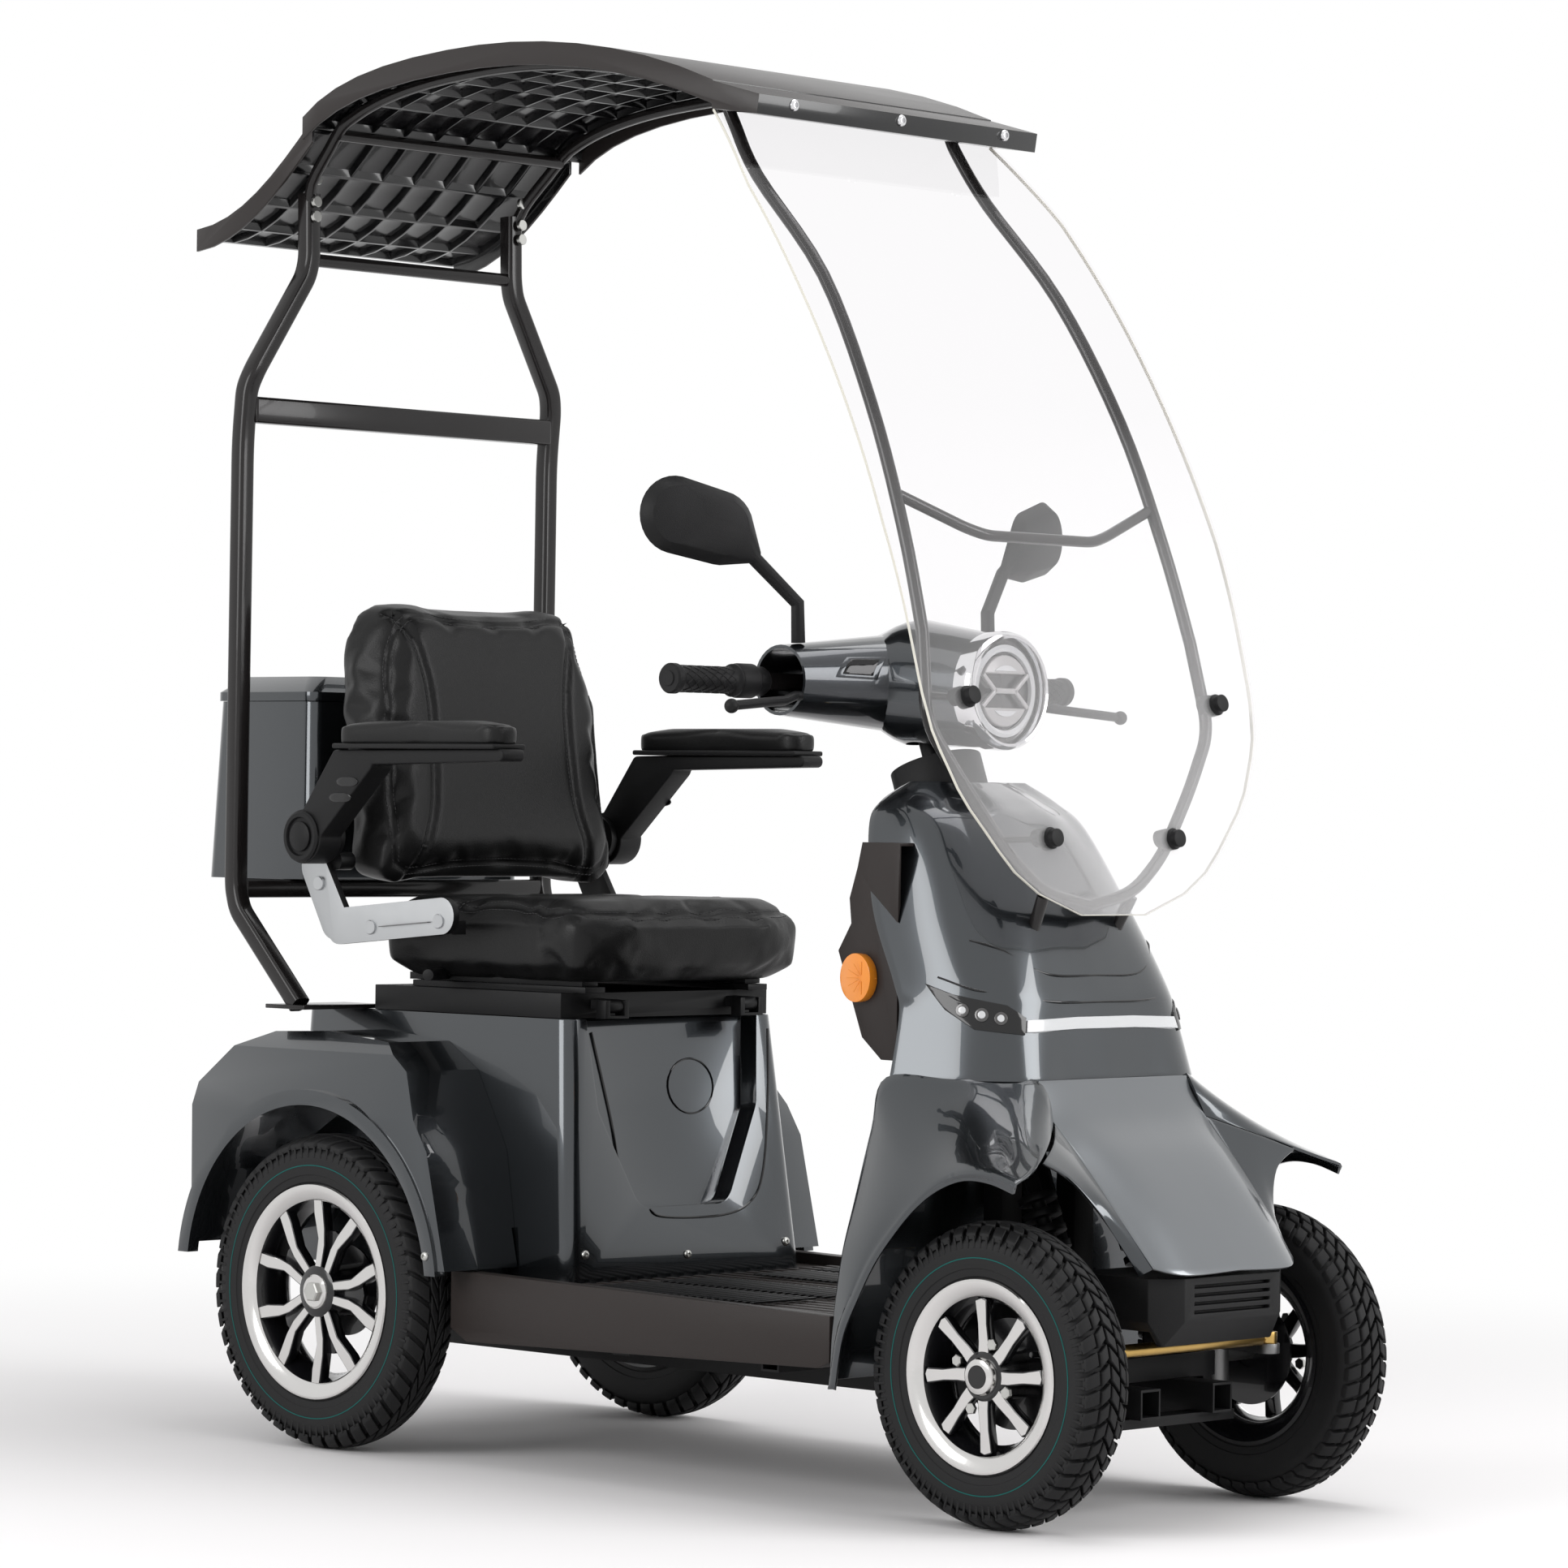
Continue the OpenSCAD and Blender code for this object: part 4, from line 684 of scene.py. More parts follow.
def makeTyre(name, tyre, blocks):
    r, b, h = tyre["radius"], tyre["bead"], tyre["half"]
    d = tyre["depth"]
    under = [(r - d - drop(w, tyre) + 0.0006, w) for w in [h * k / 6 for k in range(-5, 6)]]
    side = [(r - d - 0.017, h * 0.985), (r - 0.034, h), (b + 0.034, h), (b + 0.026, h * 0.985),
            (b + 0.025, h * 0.955), (b + 0.0165, h * 0.93), (b + 0.0155, h * 0.9), (b + 0.006, h * 0.86),
            (b + 0.001, h * 0.78)]
    inner = [(b + 0.001, h * 0.62), (b + 0.014, h * 0.6), (b + 0.014, -h * 0.6), (b + 0.001, -h * 0.62)]
    profile = under + side + inner + [(p, -w) for p, w in reversed(side)]
    pieces = [lathe(name, profile, tyreRubber, (0, 0, 0), steps=96, closed=True)]
    pitch = 2 * math.pi / tyre["count"]
    for a0, a1, w0, w1, skew in blocks:
        block = treadBlock(tyre, a0 * pitch, a1 * pitch, w0, w1, skew)
        pieces.append(grow(block, repeatTree, Count=tyre["count"], Step=(0.0, pitch, 0.0),
                           Shift=(0.0, 0.0, 0.0), Material=tyreRubber))
    # ribs low on the shoulder, and the thin coloured line on the wall
    rib = slab("rib", (r - 0.031, h - 0.0012, -0.0018), (r - 0.0165, h + 0.0002, 0.0018), tyreRubber, 0.0005, 1)
    pieces.append(grow(rib, repeatTree, Count=tyre["count"] * 2, Step=(0.0, pitch / 2, 0.0),
                       Shift=(0.0, 0.0, 0.0), Material=tyreRubber))
    line = [(b + 0.0375, h - 0.0004), (b + 0.0375, h + 0.0003), (b + 0.0387, h + 0.0003), (b + 0.0387, h - 0.0004)]
    pieces.append(lathe("line", line, tealLine, (0, 0, 0), steps=96, closed=True))
    return joined(name, pieces)


frontBlocks = [(0.06, 0.80, -0.0065, 0.0065, 6.0), (0.30, 1.02, 0.0092, 0.0205, -5.0),
               (0.30, 1.02, -0.0205, -0.0092, 5.0), (0.02, 0.74, 0.0232, 0.0368, -3.0),
               (0.02, 0.74, -0.0368, -0.0232, 3.0)]
rearBlocks = [(0.05, 0.84, 0.0012, 0.0125, 12.0), (0.45, 1.22, -0.0125, -0.0012, -12.0),
              (0.28, 1.0, 0.0152, 0.0368, 4.0), (0.28, 1.0, -0.0368, -0.0152, -4.0)]


def rimBarrel(name, bead, edge):
    # the dark well of the rim and its bright outer lip
    outer = [(edge - 0.0045, 0.0365), (edge, 0.0350), (bead + 0.001, 0.0300), (bead, 0.0270),
             (bead - 0.010, 0.0200), (bead - 0.015, 0.0), (bead - 0.010, -0.0200), (bead, -0.0270),
             (bead + 0.001, -0.0300), (edge, -0.0350), (edge - 0.0045, -0.0365), (bead - 0.005, -0.0310),
             (bead - 0.014, -0.0200), (bead - 0.019, 0.0), (bead - 0.013, 0.0170), (bead - 0.006, 0.0310)]
    lip = [(bead - 0.0075, 0.0300), (bead - 0.004, 0.0340), (edge - 0.0046, 0.0378), (edge - 0.001, 0.0374),
           (edge + 0.0004, 0.0352), (edge - 0.0042, 0.0345), (bead - 0.002, 0.0300), (bead - 0.006, 0.0270)]
    return [lathe(name, outer, blackRim, (0, 0, 0), steps=96, closed=True),
            lathe("lip", lip, machined, (0, 0, 0), steps=96, closed=True)]


def spread(piece, count, material):
    return grow(piece, repeatTree, Count=count, Step=(0.0, 2 * math.pi / count, 0.0), Shift=(0.0, 0.0, 0.0),
                Material=material)


def shrink(outline, amount):
    # an outline drawn in by about the given amount
    n = len(outline)
    out = []
    for i in range(n):
        a, b, c = (Vector((*outline[k % n], 0)) for k in (i - 1, i, i + 1))
        u, v = (b - a).normalized(), (c - b).normalized()
        normal = Vector((-(u + v).y, (u + v).x, 0)).normalized()
        lean = max(0.5, normal.dot(Vector((-u.y, u.x, 0))))
        out.append(tuple((b + normal * amount / lean)[:2]))
    return out


def bladeSet(outlines, count, base, top):
    # dark blades with a machined face
    pieces = []
    for outline in outlines:
        area = sum(a[0] * b[1] - b[0] * a[1] for a, b in zip(outline, outline[1:] + outline[:1]))
        turned = outline if area > 0 else outline[::-1]
        body = plate("blade", turned, base, top, "side", blackRim, bevel=0.0022, segments=2)
        face = plate("face", shrink(turned, 0.0017), top - 0.001, top + 0.0005, "side", machined, 0.0004, 1)
        pieces += [spread(body, count, blackRim), spread(face, count, machined)]
    return pieces


def makeFrontRim():
    b = frontTyre["bead"]
    outline = [(0.022, -0.0095), (0.040, -0.0085), (0.062, -0.005), (b - 0.011, -0.004), (b - 0.008, 0.004),
               (b - 0.012, 0.0155), (0.062, 0.0105), (0.040, 0.009), (0.022, 0.0095)]
    pieces = rimBarrel("frontRim", b, b + 0.014)
    pieces += bladeSet([outline], 8, 0.0150, 0.0285)
    pieces.append(lathe("backPlate", [(0.02, -0.024), (0.066, -0.024), (0.066, -0.021), (0.02, -0.021)], blackRim,
                        (0, 0, 0), steps=64, closed=True))
    pieces.append(lathe("hub", [(0.0105, -0.022), (0.030, -0.022), (0.030, 0.0285), (0.0265, 0.031),
                                (0.0105, 0.031)], blackRim, (0, 0, 0), closed=True))
    pieces.append(lathe("cap", [(0.0, 0.0395), (0.016, 0.0393), (0.0205, 0.038), (0.0225, 0.0345),
                                (0.0235, 0.028), (0.0, 0.028)], machined, (0, 0, 0)))
    pieces.append(lathe("capInset", [(0.0, 0.0402), (0.0138, 0.0401), (0.0142, 0.038), (0.0, 0.038)], blackGloss,
                        (0, 0, 0)))
    nut = hexNut("nut", (0.042, 0.0285, 0.0), (0, 1, 0), 0.0072, 0.0055, zincSteel)
    spread4 = spread(nut, 4, zincSteel)
    spread4.data.transform(Matrix.Rotation(math.radians(22.5), 4, "Y"))
    pieces.append(spread4)
    pieces.append(disc("valve", (b - 0.02, 0.012, 0.03), (-0.3, 1, 0.1), 0.0035, 0.02, blackGloss, steps=12))
    return joined("frontWheel", pieces)


def makeRearRim():
    b = rearTyre["bead"]
    arm = [(0.024, 0.0015), (0.062, 0.0055), (0.083, 0.0125), (b - 0.009, 0.0300), (b - 0.0135, 0.0475),
           (0.094, 0.0395), (0.066, 0.0215), (0.026, 0.0150)]
    twin = [(x, -z) for x, z in arm]
    pieces = rimBarrel("rearRim", b, b + 0.014)
    pieces += bladeSet([arm, twin], 5, 0.0130, 0.0285)
    web = [(0.030, -0.005), (0.080, -0.014), (0.084, 0.0), (0.080, 0.014), (0.030, 0.005)]
    pieces.append(spread(plate("web", web, 0.014, 0.021, "side", blackRim, bevel=0.001), 5, blackRim))
    pieces.append(lathe("backPlate", [(0.02, -0.024), (0.060, -0.024), (0.060, -0.021), (0.02, -0.021)], blackRim,
                        (0, 0, 0), steps=64, closed=True))
    pieces.append(lathe("hub", [(0.0105, -0.022), (0.034, -0.022), (0.034, 0.0285), (0.030, 0.031),
                                (0.0105, 0.031)], blackRim, (0, 0, 0), closed=True))
    pieces.append(lathe("collar", [(0.0, 0.0350), (0.020, 0.0350), (0.0225, 0.033), (0.0235, 0.028),
                                   (0.0, 0.028)], machined, (0, 0, 0)))
    pieces.append(hexNut("axleNut", (0.0, 0.0340, 0.0), (0, 1, 0), 0.0135, 0.0065, zincSteel))
    return joined("rearWheel", pieces)


def placeWheel(piece, node, x, y, z, name):
    # a copy of a wheel piece, its outer side away from the machine
    twin = piece.copy()
    twin.data = piece.data.copy()
    twin.name = name
    if y < 0:
        twin.data.transform(Matrix.Scale(-1, 4, (0, 1, 0)))
        twin.data.flip_normals()
    twin.data.transform(Matrix.Translation((x, y, z)))
    scene.collection.objects.link(twin)
    return seat(twin, node)


for end, tyre, blocks, makeRim, x, y in (("front", frontTyre, frontBlocks, makeFrontRim, frontX, 0.243),
                                         ("rear", rearTyre, rearBlocks, makeRearRim, rearX, 0.301)):
    rubber, metal = makeTyre(end + "Tyre", tyre, blocks), makeRim()
    for word, sign in (("left", 1), ("right", -1)):
        placeWheel(rubber, end + "_" + word + "_tyre", x, sign * y, tyre["radius"], end + word.title() + "Tyre")
        placeWheel(metal, end + "_" + word + "_rim", x, sign * y, tyre["radius"], end + word.title() + "Rim")
    bpy.data.objects.remove(rubber)
    bpy.data.objects.remove(metal)
print("wheels made")


def mirroredRows(half):
    # a row that starts in the middle, carried over to the other side
    return [[Vector((p.x, -p.y, p.z)) for p in reversed(row[1:])] + list(row) for row in half]


shieldLevels = {
    523: ((362, 228), (450, 205), (519, 138), (519, 0)), 600: ((358, 208), (430, 190), (500, 130), (505, 0)),
    637: ((336, 195), (420, 186), (490, 120), (496, 0)), 725: ((284, 178), (375, 170), (446, 104), (456, 0)),
    823: ((251, 152), (330, 148), (382, 85), (396, 0)), 857: ((250, 130), (300, 132), (340, 70), (356, 0)),
    882: ((262, 90), (285, 92), (300, 50), (308, 0))}
shieldRows = []
for z, (edge, flank, corner, middle) in sorted(shieldLevels.items()):
    knee = (corner[0] + (flank[0] - corner[0]) * 0.42 + 9, corner[1] + (flank[1] - corner[1]) * 0.42 + 9)
    brow = (middle[0] - 1.5, corner[1] * 0.5)
    shieldRows.append([spot(x, y, z) for x, y in (middle, brow, corner, knee, flank, edge)])
shieldGrid = mirroredRows(fineGrid(shieldRows, 8, 5))
sheetPiece("shieldSkin", shieldGrid, bodyPaint, thick=0.0035, offset=1.0)
shieldSkin = seat(bpy.data.objects["shieldSkin"], "leg_shield")
shieldBack = keepShape("leg_shield", bodyPaint, bevel=0)
shieldTree = BVHTree.FromPolygons([v.co for v in shieldSkin.data.vertices],
                                  [p.vertices for p in shieldSkin.data.polygons])


def onShield(x, y, z, lift):
    # the point of the shield's outside straight out from its middle line, a little proud of it
    away = Vector((x - 300, y, 0)).normalized()
    hit, normal, _, _ = shieldTree.ray_cast(spot(x, y, z) + away * 0.15, -away, 0.4)
    if hit is None:
        return spot(x, y, z)
    return hit + (normal if normal.dot(away) > 0 else -normal) * lift


def onNode(node, away):
    # lands points on a node's own surface, looking in from the given side
    tree = BVHTree.FromPolygons([v.co for v in nodes[node].data.vertices],
                                [p.vertices for p in nodes[node].data.polygons])
    look = Vector(away).normalized()

    def land(x, y, z, lift):
        hit, normal, _, _ = tree.ray_cast(spot(x, y, z) + look * 0.12, -look, 0.4)
        if hit is None:
            return spot(x, y, z)
        return hit + (normal if normal.dot(look) > 0 else -normal) * lift
    return land


def lay(name, outline, land, lift, material, thick=0.003, bevel=0.0008, rings=5, side=(1, 0, 0)):
    # a drawing of points laid on a surface, as rings towards its middle
    points = [Vector(p) for p in outline]
    middle = sum(points, Vector()) / len(points)
    n = len(points)
    verts, faces = [land(*middle, lift)], []
    for k in range(1, rings + 1):
        verts += [land(*(middle + (p - middle) * k / rings), lift) for p in points]
    faces += [(0, 1 + i, 1 + (i + 1) % n) for i in range(n)]
    for k in range(rings - 1):
        a, b = 1 + k * n, 1 + (k + 1) * n
        faces += [(a + i, b + i, b + (i + 1) % n, a + (i + 1) % n) for i in range(n)]
    piece = addMesh(name, verts, faces, material)
    work = bmesh.new()
    work.from_mesh(piece.data)
    bmesh.ops.recalc_face_normals(work, faces=work.faces)
    if sum(f.normal.dot(Vector(side)) for f in work.faces) < 0:
        bmesh.ops.reverse_faces(work, faces=work.faces)
    work.to_mesh(piece.data)
    work.free()
    return shape(piece, bevel=bevel, thick=thick, angle=50)


def denser(outline, steps=5):
    n = len(outline)
    points = [Vector(p) for p in outline]
    return [a + (b - a) * s / steps for a, b in zip(points, points[1:] + points[:1]) for s in range(steps)]


wingRows = []
for (a, m, b) in (((341, 299, 152), (344, 300, 152), (350, 152)), ((341, 296, 215), (352, 299, 215), (362, 215)),
                  ((345, 293, 270), (366, 299, 266), (386, 263)), ((350, 288, 320), (380, 297, 313), (412, 306)),
                  ((355, 275, 375), (398, 293, 360), (444, 344)), ((358, 250, 461), (415, 281, 420), (476, 375)),
                  ((361, 229, 522.4), (436, 266, 456), (512, 399)), ((450, 205, 522.4), (489, 235, 480), (553, 413)),
                  ((519, 140, 522.4), (556, 224, 464), (594, 412)), ((548, 143, 474), (613, 236, 434), (631, 402))):
    away = Vector((b[0] - 559.5, 0, b[1] - 182)).normalized()
    lipOuter = Vector((b[0], 300, b[1])) + away * 11
    bend = Vector(m) * 2 - (Vector(a) + lipOuter) / 2
    row = [Vector(a) * (1 - t) ** 2 + bend * 2 * t * (1 - t) + lipOuter * t * t for t in (0, 0.25, 0.5, 0.75, 1)]
    row += [Vector((b[0], 301.5, b[1])) + away * 5, Vector((b[0], 301, b[1]))]
    wingRows.append([spot(*p) for p in row])
wingLeft = sheetPiece("wingLeft", [list(reversed(row)) for row in fineGrid(wingRows, 6, 3)], bodyPaint, 0.0035)
lipPath = smoothPath([row[-2] for row in wingRows], 6)
wingLip = sweepShape("wingLip", lipPath, boxOutline(0.002, 0.010, 0.0008), bodyPaint)
wingLeft = joined("wingLeft", [wingLeft, wingLip])
for piece in (wingLeft, mirrored(wingLeft, "wingRight")):
    seat(piece, "front_fenders")
# wall between the wheels and the rider's feet: place, height and half width
footWallRows = [[spot(x, w * k / 10, z) for k in range(10, -11, -1)] for x, z, w in (
    (339, 162, 297), (339, 200, 295), (339, 245, 293.5), (347, 300, 286), (354, 350, 276), (357, 400, 266),
    (360, 461, 248), (362, 522.4, 227))]
seat(sheetPiece("footWall", footWallRows, bodyPaint, thick=0.004, offset=0.0), "front_fenders")

hoodRows = [[spot(*p) for p in row] for row in (
    ((519.5, 0, 522.4), (519.5, 92, 522.4), (519, 137, 522.4)), ((556, 0, 476), (554, 94, 476), (548, 141, 474)),
    ((610, 0, 432), (608, 92, 431), (600, 139, 421)), ((664, 0, 376), (662, 90, 375), (650, 136, 365)),
    ((722, 0, 303), (719, 93, 301), (697, 130, 309)))]
hood = sheetPiece("hoodPanel", mirroredRows(fineGrid(hoodRows, 7, 6)), nosePaint, 0.0035, offset=1.0)
skirtRows = [[spot(*p) for p in row] for row in (
    ((549, 141, 472.5), (588, 187, 452), (614, 235, 432.5)), ((600, 138, 420.5), (612, 165, 417), (622, 190, 409)),
    ((650, 135, 364.5), (651, 146, 362), (648, 153, 357)), ((697, 129, 308.5), (692, 134, 305), (684, 137, 301)))]
skirtLeft = sheetPiece("skirtLeft", fineGrid(skirtRows, 7, 4), bodyPaint, 0.0035, offset=1.0)
for piece in (hood, skirtLeft, mirrored(skirtLeft, "skirtRight")):
    seat(piece, "nose_hood")

eye = [(387, 193, 637), (427, 186, 625), (481, 151, 613), (500, 137, 598), (501, 141, 578), (456, 181, 584),
       (420, 193, 606)]
for word, sign in (("Left", 1), ("Right", -1)):
    out = (0.6, sign * 0.8, 0)
    patch = denser([(x, sign * y, z) for x, y, z in eye])
    seat(lay("eyePatch" + word, patch, onShield, 0.002, blackGloss, side=out), "light_bar")
    for k, (x, y, z, r) in enumerate(((440, 183, 606, 8.5), (461, 172, 601, 8.5), (480, 160, 597, 8))):
        ring = [(x + 0.85 * r * math.cos(a), sign * (y - 0.5 * r * math.cos(a)), z + r * math.sin(a))
                for a in [math.radians(22.5 * i) for i in range(16)]]
        seat(lay("eyeLens" + word + str(k), ring, onShield, 0.0038, lampDark, rings=3, side=out), "light_bar")
        core = [Vector(p) * 0.55 + Vector((x, sign * y, z)) * 0.45 for p in ring]
        seat(lay("eyeCore" + word + str(k), core, onShield, 0.0048, paleLens, rings=2, side=out), "light_bar")
strip = [(501, -136, 595), (513, -54, 598), (513, 54, 598), (501, 136, 595), (501, 138, 581), (511, 54, 584),
         (511, -54, 584), (501, -138, 581)]
seat(lay("dayStrip", denser(strip, 6), onShield, 0.003, paleLens, rings=5), "light_bar")
# painted shade: a thin black bead laid along the crease above the lamps stands in for the crease's shade
brow = smoothPath([onShield(x, y, z, 0.0006) for x, y, z in (
    (404, -190, 645), (455, -170, 630), (505, -100, 618), (513, 0, 616), (505, 100, 618), (455, 170, 630),
    (404, 190, 645))], 8)
seat(tube("creaseShadeBead", brow, 0.0013, blackGloss, 8), "leg_shield")
panelLine = smoothPath([onShield(x, y, z, 0.0004) for x, y, z in (
    (420, -150, 690), (455, -136, 680), (488, -89, 651), (494, 0, 648), (488, 89, 651), (455, 136, 680),
    (420, 150, 690))], 8)
seat(tube("panelLine", panelLine, 0.0011, blackGloss, 8), "leg_shield")
print("front body made")


def bezier(a, b, c, d, t):
    u = 1 - t
    return Vector(a) * u ** 3 + Vector(b) * 3 * u * u * t + Vector(c) * 3 * u * t * t + Vector(d) * t ** 3


# the clear sheet, bent one way, with a thin bright edge
screenCurve = [bezier((71, 1711.3), (260, 1530), (400, 1270), (455, 1080), k / 28) for k in range(28)]
screenCurve += [bezier((455, 1080), (480, 990), (516, 860), (520, 722), k / 16) for k in range(17)]
screenWidths = [(60, 722), (110, 732), (185, 778), (261, 861), (297, 934), (306, 990), (310, 1190), (298, 1480),
                (290, 1612), (256, 1712)]


def between(table, z):
    # a value read off a table of value and height
    for (v0, z0), (v1, z1) in zip(table, table[1:]):
        if z <= z1:
            return v0 + (v1 - v0) * max(0.0, (z - z0) / (z1 - z0))
    return table[-1][0]


screenRows = [[spot(p.x, between(screenWidths, p.y) * k / 6, p.y) for k in range(-6, 7)] for p in screenCurve]
sheet = sheetPiece("screenSheet", screenRows, screenGlass, thick=0.004, bevel=0.0, offset=1.0)
seat(sheet, "windscreen")
edge = [row[0] for row in screenRows] + screenRows[-1][1:-1] + [row[-1] for row in reversed(screenRows)]
edge = [p + Vector((-0.002, 0, 0)) for p in edge]
seat(sweepShape("screenEdge", edge, boxOutline(0.0012, 0.0042, 0.0003, 1), screenEdge, closed=False), "windscreen")
print("screen made")


def paintWhere(piece, material, test):
    # another finish for the faces that pass a test of their middle and direction
    piece.data.materials.append(material)
    place = len(piece.data.materials) - 1
    for face in piece.data.polygons:
        if test(face.center, face.normal):
            face.material_index = place
    return piece


roof = keepShape("roof_panel", roofUnder, bevel=0.0012)
paintWhere(roof, roofPlastic, lambda c, n: n.z > 0.35 or abs(c.y) > 0.2535 or c.x > midX + 0.1485)
rearRoof = keepShape("rear_visor", roofUnder, bevel=0.0012)
paintWhere(rearRoof, roofPlastic, lambda c, n: n.z > 0.25 and n.x < 0.3 or abs(c.y) > 0.237)
postPath = [(-658, 281, 576.5), (-782, 281, 700), (-790, 281, 728), (-791, 281, 745), (-789, 281, 1330),
            (-782, 281, 1400), (-776, 273, 1425), (-768, 192, 1556), (-767, 187, 1580), (-769, 187, 1668)]
roofCurve = [bezier((69, 1748), (-90, 1812), (-260, 1834), (-420, 1826), k / 12) for k in range(1, 12)]
roofCurve += [bezier((-420, 1826), (-560, 1820), (-650, 1800), (-703, 1760), k / 8) for k in range(8)]
sideTube = [(9.2, 206, 1745.9), (18.8, 206, 1743), (40, 206, 1728), (56, 206, 1700), (105, 213, 1630),
            (225, 218, 1500), (320, 232, 1340), (385, 241, 1185), (426, 249, 1060), (447, 262, 950),
            (461, 210, 876), (474, 143, 793), (478, 84, 748), (479, 0, 732)]
crossTube = [(366, -236, 1228), (386, -130, 1190), (392, -98, 1182), (392, 98, 1182), (386, 130, 1190),
             (366, 236, 1228)]
under = 24                     # from the roof's top to the middle of the tubes below it, in millimetres
for word, sign in (("Left", 1), ("Right", -1)):
    posts = [spot(x, sign * y, z) for x, y, z in postPath]
    seat(sweepShape("post" + word, bentPath(posts, 0.03), boxOutline(0.025, 0.025, 0.006), tubePaint, up=(0, 1, 0)),
         "roof_frame")
    foot = slab("postFoot" + word, spot(-704, min(sign * 161, sign * 301), 571.3),
                spot(-626, max(sign * 161, sign * 301), 577), tubePaint)
    seat(foot, "roof_frame")
    rail = [spot(p.x, sign * 206, p.y - under) for p in roofCurve]
    rail += [spot(-712, sign * 202, 1722), spot(-752, sign * 196, 1682), spot(-764, sign * 189, 1650)]
    seat(tube("roofRail" + word, smoothPath(rail, 3), 0.008, tubePaint), "roof_frame")
    path = [spot(x, sign * y, z) for x, y, z in sideTube]
    seat(tube("screenTube" + word, smoothPath(path[:9], 5)[:-1] + bentPath(path[8:], 0.03), 0.008, tubePaint),
         "screen_frame")
    seat(tube("screenFoot" + word, [spot(477, sign * 82, 744), spot(448, sign * 74.5, 686)], 0.008, tubePaint),
         "screen_frame")
    for k, (y, z, arm) in enumerate(((231, 981.5, (440, 256, 984)), (114, 814, (471, 158, 812)))):
        x = min(screenCurve, key=lambda p: abs(p.y - z)).x
        seat(tube("standArm" + word + str(k), [spot(x - 18, sign * y, z), spot(arm[0], sign * arm[1], arm[2])], 0.005,
                  tubePaint, 10), "screen_frame")
        seat(disc("standCup" + word + str(k), spot(x - 19, sign * y, z), (1, 0, 0.2), 0.011, 0.014, gripRubber),
             "screen_frame")
seat(tube("roofCross", [spot(-690, -206, 1740), spot(-690, 206, 1740)], 0.008, tubePaint), "roof_frame")
seat(tube("postCross", [spot(-767, -184, 1579), spot(-767, 184, 1579)], 0.009, tubePaint), "roof_frame")
seat(tube("screenCross", bentPath([spot(*p) for p in crossTube], 0.03), 0.007, tubePaint), "screen_frame")
for name, lo, hi in (("postBrace", (-795, -273, 1354), (-770, 273, 1389)),
                     ("boxBeam", (-802, -273, 716), (-778, 273, 740)),
                     ("boxArmLeft", (-960, 118, 716), (-802, 142, 740)),
                     ("boxArmRight", (-960, -142, 716), (-802, -118, 740)),
                     ("boxBar", (-960, -118, 716), (-936, 118, 740))):
    seat(slab(name, spot(*lo), spot(*hi), tubePaint, 0.004, 3), "roof_frame")
keepShape("screen_mounts", matPlastic, bevel=0.0008)


def boltOn(name, node, land, x, y, z, away, radius=0.0085, depth=0.0045, material=brightChrome, lift=0.0):
    # a domed screw on a node's surface with a dark socket
    place = land(x, y, z, lift)
    r, d = radius, depth
    head = lathe(name, [(0, -0.001), (r, -0.001), (r, d * 0.35), (r * 0.86, d * 0.75), (r * 0.55, d),
                        (r * 0.42, d), (r * 0.38, d * 0.45), (0, d * 0.45)], material, place, away, 24)
    return seat(head, node)


roofSide, roofFront = onNode("roof_panel", (0, -1, 0)), onNode("roof_panel", (1, 0, 0))
roofLeft = onNode("roof_panel", (0, 1, 0))
for k, y in enumerate((-195, 0, 195)):
    boltOn("roofScrew" + str(k), "roof_panel", roofFront, 148, y, 1716, (1, 0, 0), 0.0075)
for k, (y, z) in enumerate(((231, 981.5), (114, 814))):
    for word, sign in (("Left", 1), ("Right", -1)):
        x = min(screenCurve, key=lambda p: abs(p.y - z)).x
        lean = Vector((1, 0, 0.2))
        cap = lathe("mountCap" + word + str(k), [(0, -0.006), (0.0135, -0.006), (0.0135, 0.006), (0.011, 0.009),
                                                 (0.0, 0.009)], gripRubber, spot(x, sign * y, z), lean, 28)
        seat(cap, "screen_mounts")
        seat(disc("mountScrew" + word + str(k), spot(x, sign * y, z) + lean.normalized() * 0.0085, lean, 0.0075,
                  0.003, brightChrome), "screen_mounts")
for word, sign in (("Left", 1), ("Right", -1)):
    for k, z in enumerate((1690, 1660, 1640)):
        seat(disc("roofBolt" + word + str(k), spot(-752, sign * 190, z - 4), (1, 0, 0.1), 0.0078, 0.005, zincSteel),
             "roof_frame")
print("roof made")


# seat
def inflate(piece, cap, voxel=0.0055, pressure=4.0, flatBack=False):
    # a padded skin: pressed out by cloth pressure, no further than cap, and hardly at a flat back
    mesher = piece.modifiers.new("mesher", "REMESH")
    mesher.mode = "VOXEL"
    mesher.voxel_size = voxel
    settle(piece)
    start = [v.co.copy() for v in piece.data.vertices]
    cloth = piece.modifiers.new("skin", "CLOTH")
    cloth.settings.use_pressure = True
    cloth.settings.uniform_pressure_force = pressure
    cloth.settings.effector_weights.gravity = 0
    for step in range(1, 21):
        scene.frame_set(step)
    settle(piece)
    scene.frame_set(1)
    for v, old in zip(piece.data.vertices, start):
        move = v.co - old
        if flatBack and move.x < 0:
            move.x *= 0.1
        v.co = old + move * min(1.0, cap / max(move.length, 0.0000001))
    ease = piece.modifiers.new("ease", "SMOOTH")
    ease.iterations = 6
    piece.modifiers.new("finer", "SUBSURF").levels = 1
    settle(piece)
    smoothByAngle(piece, 60)
    return piece


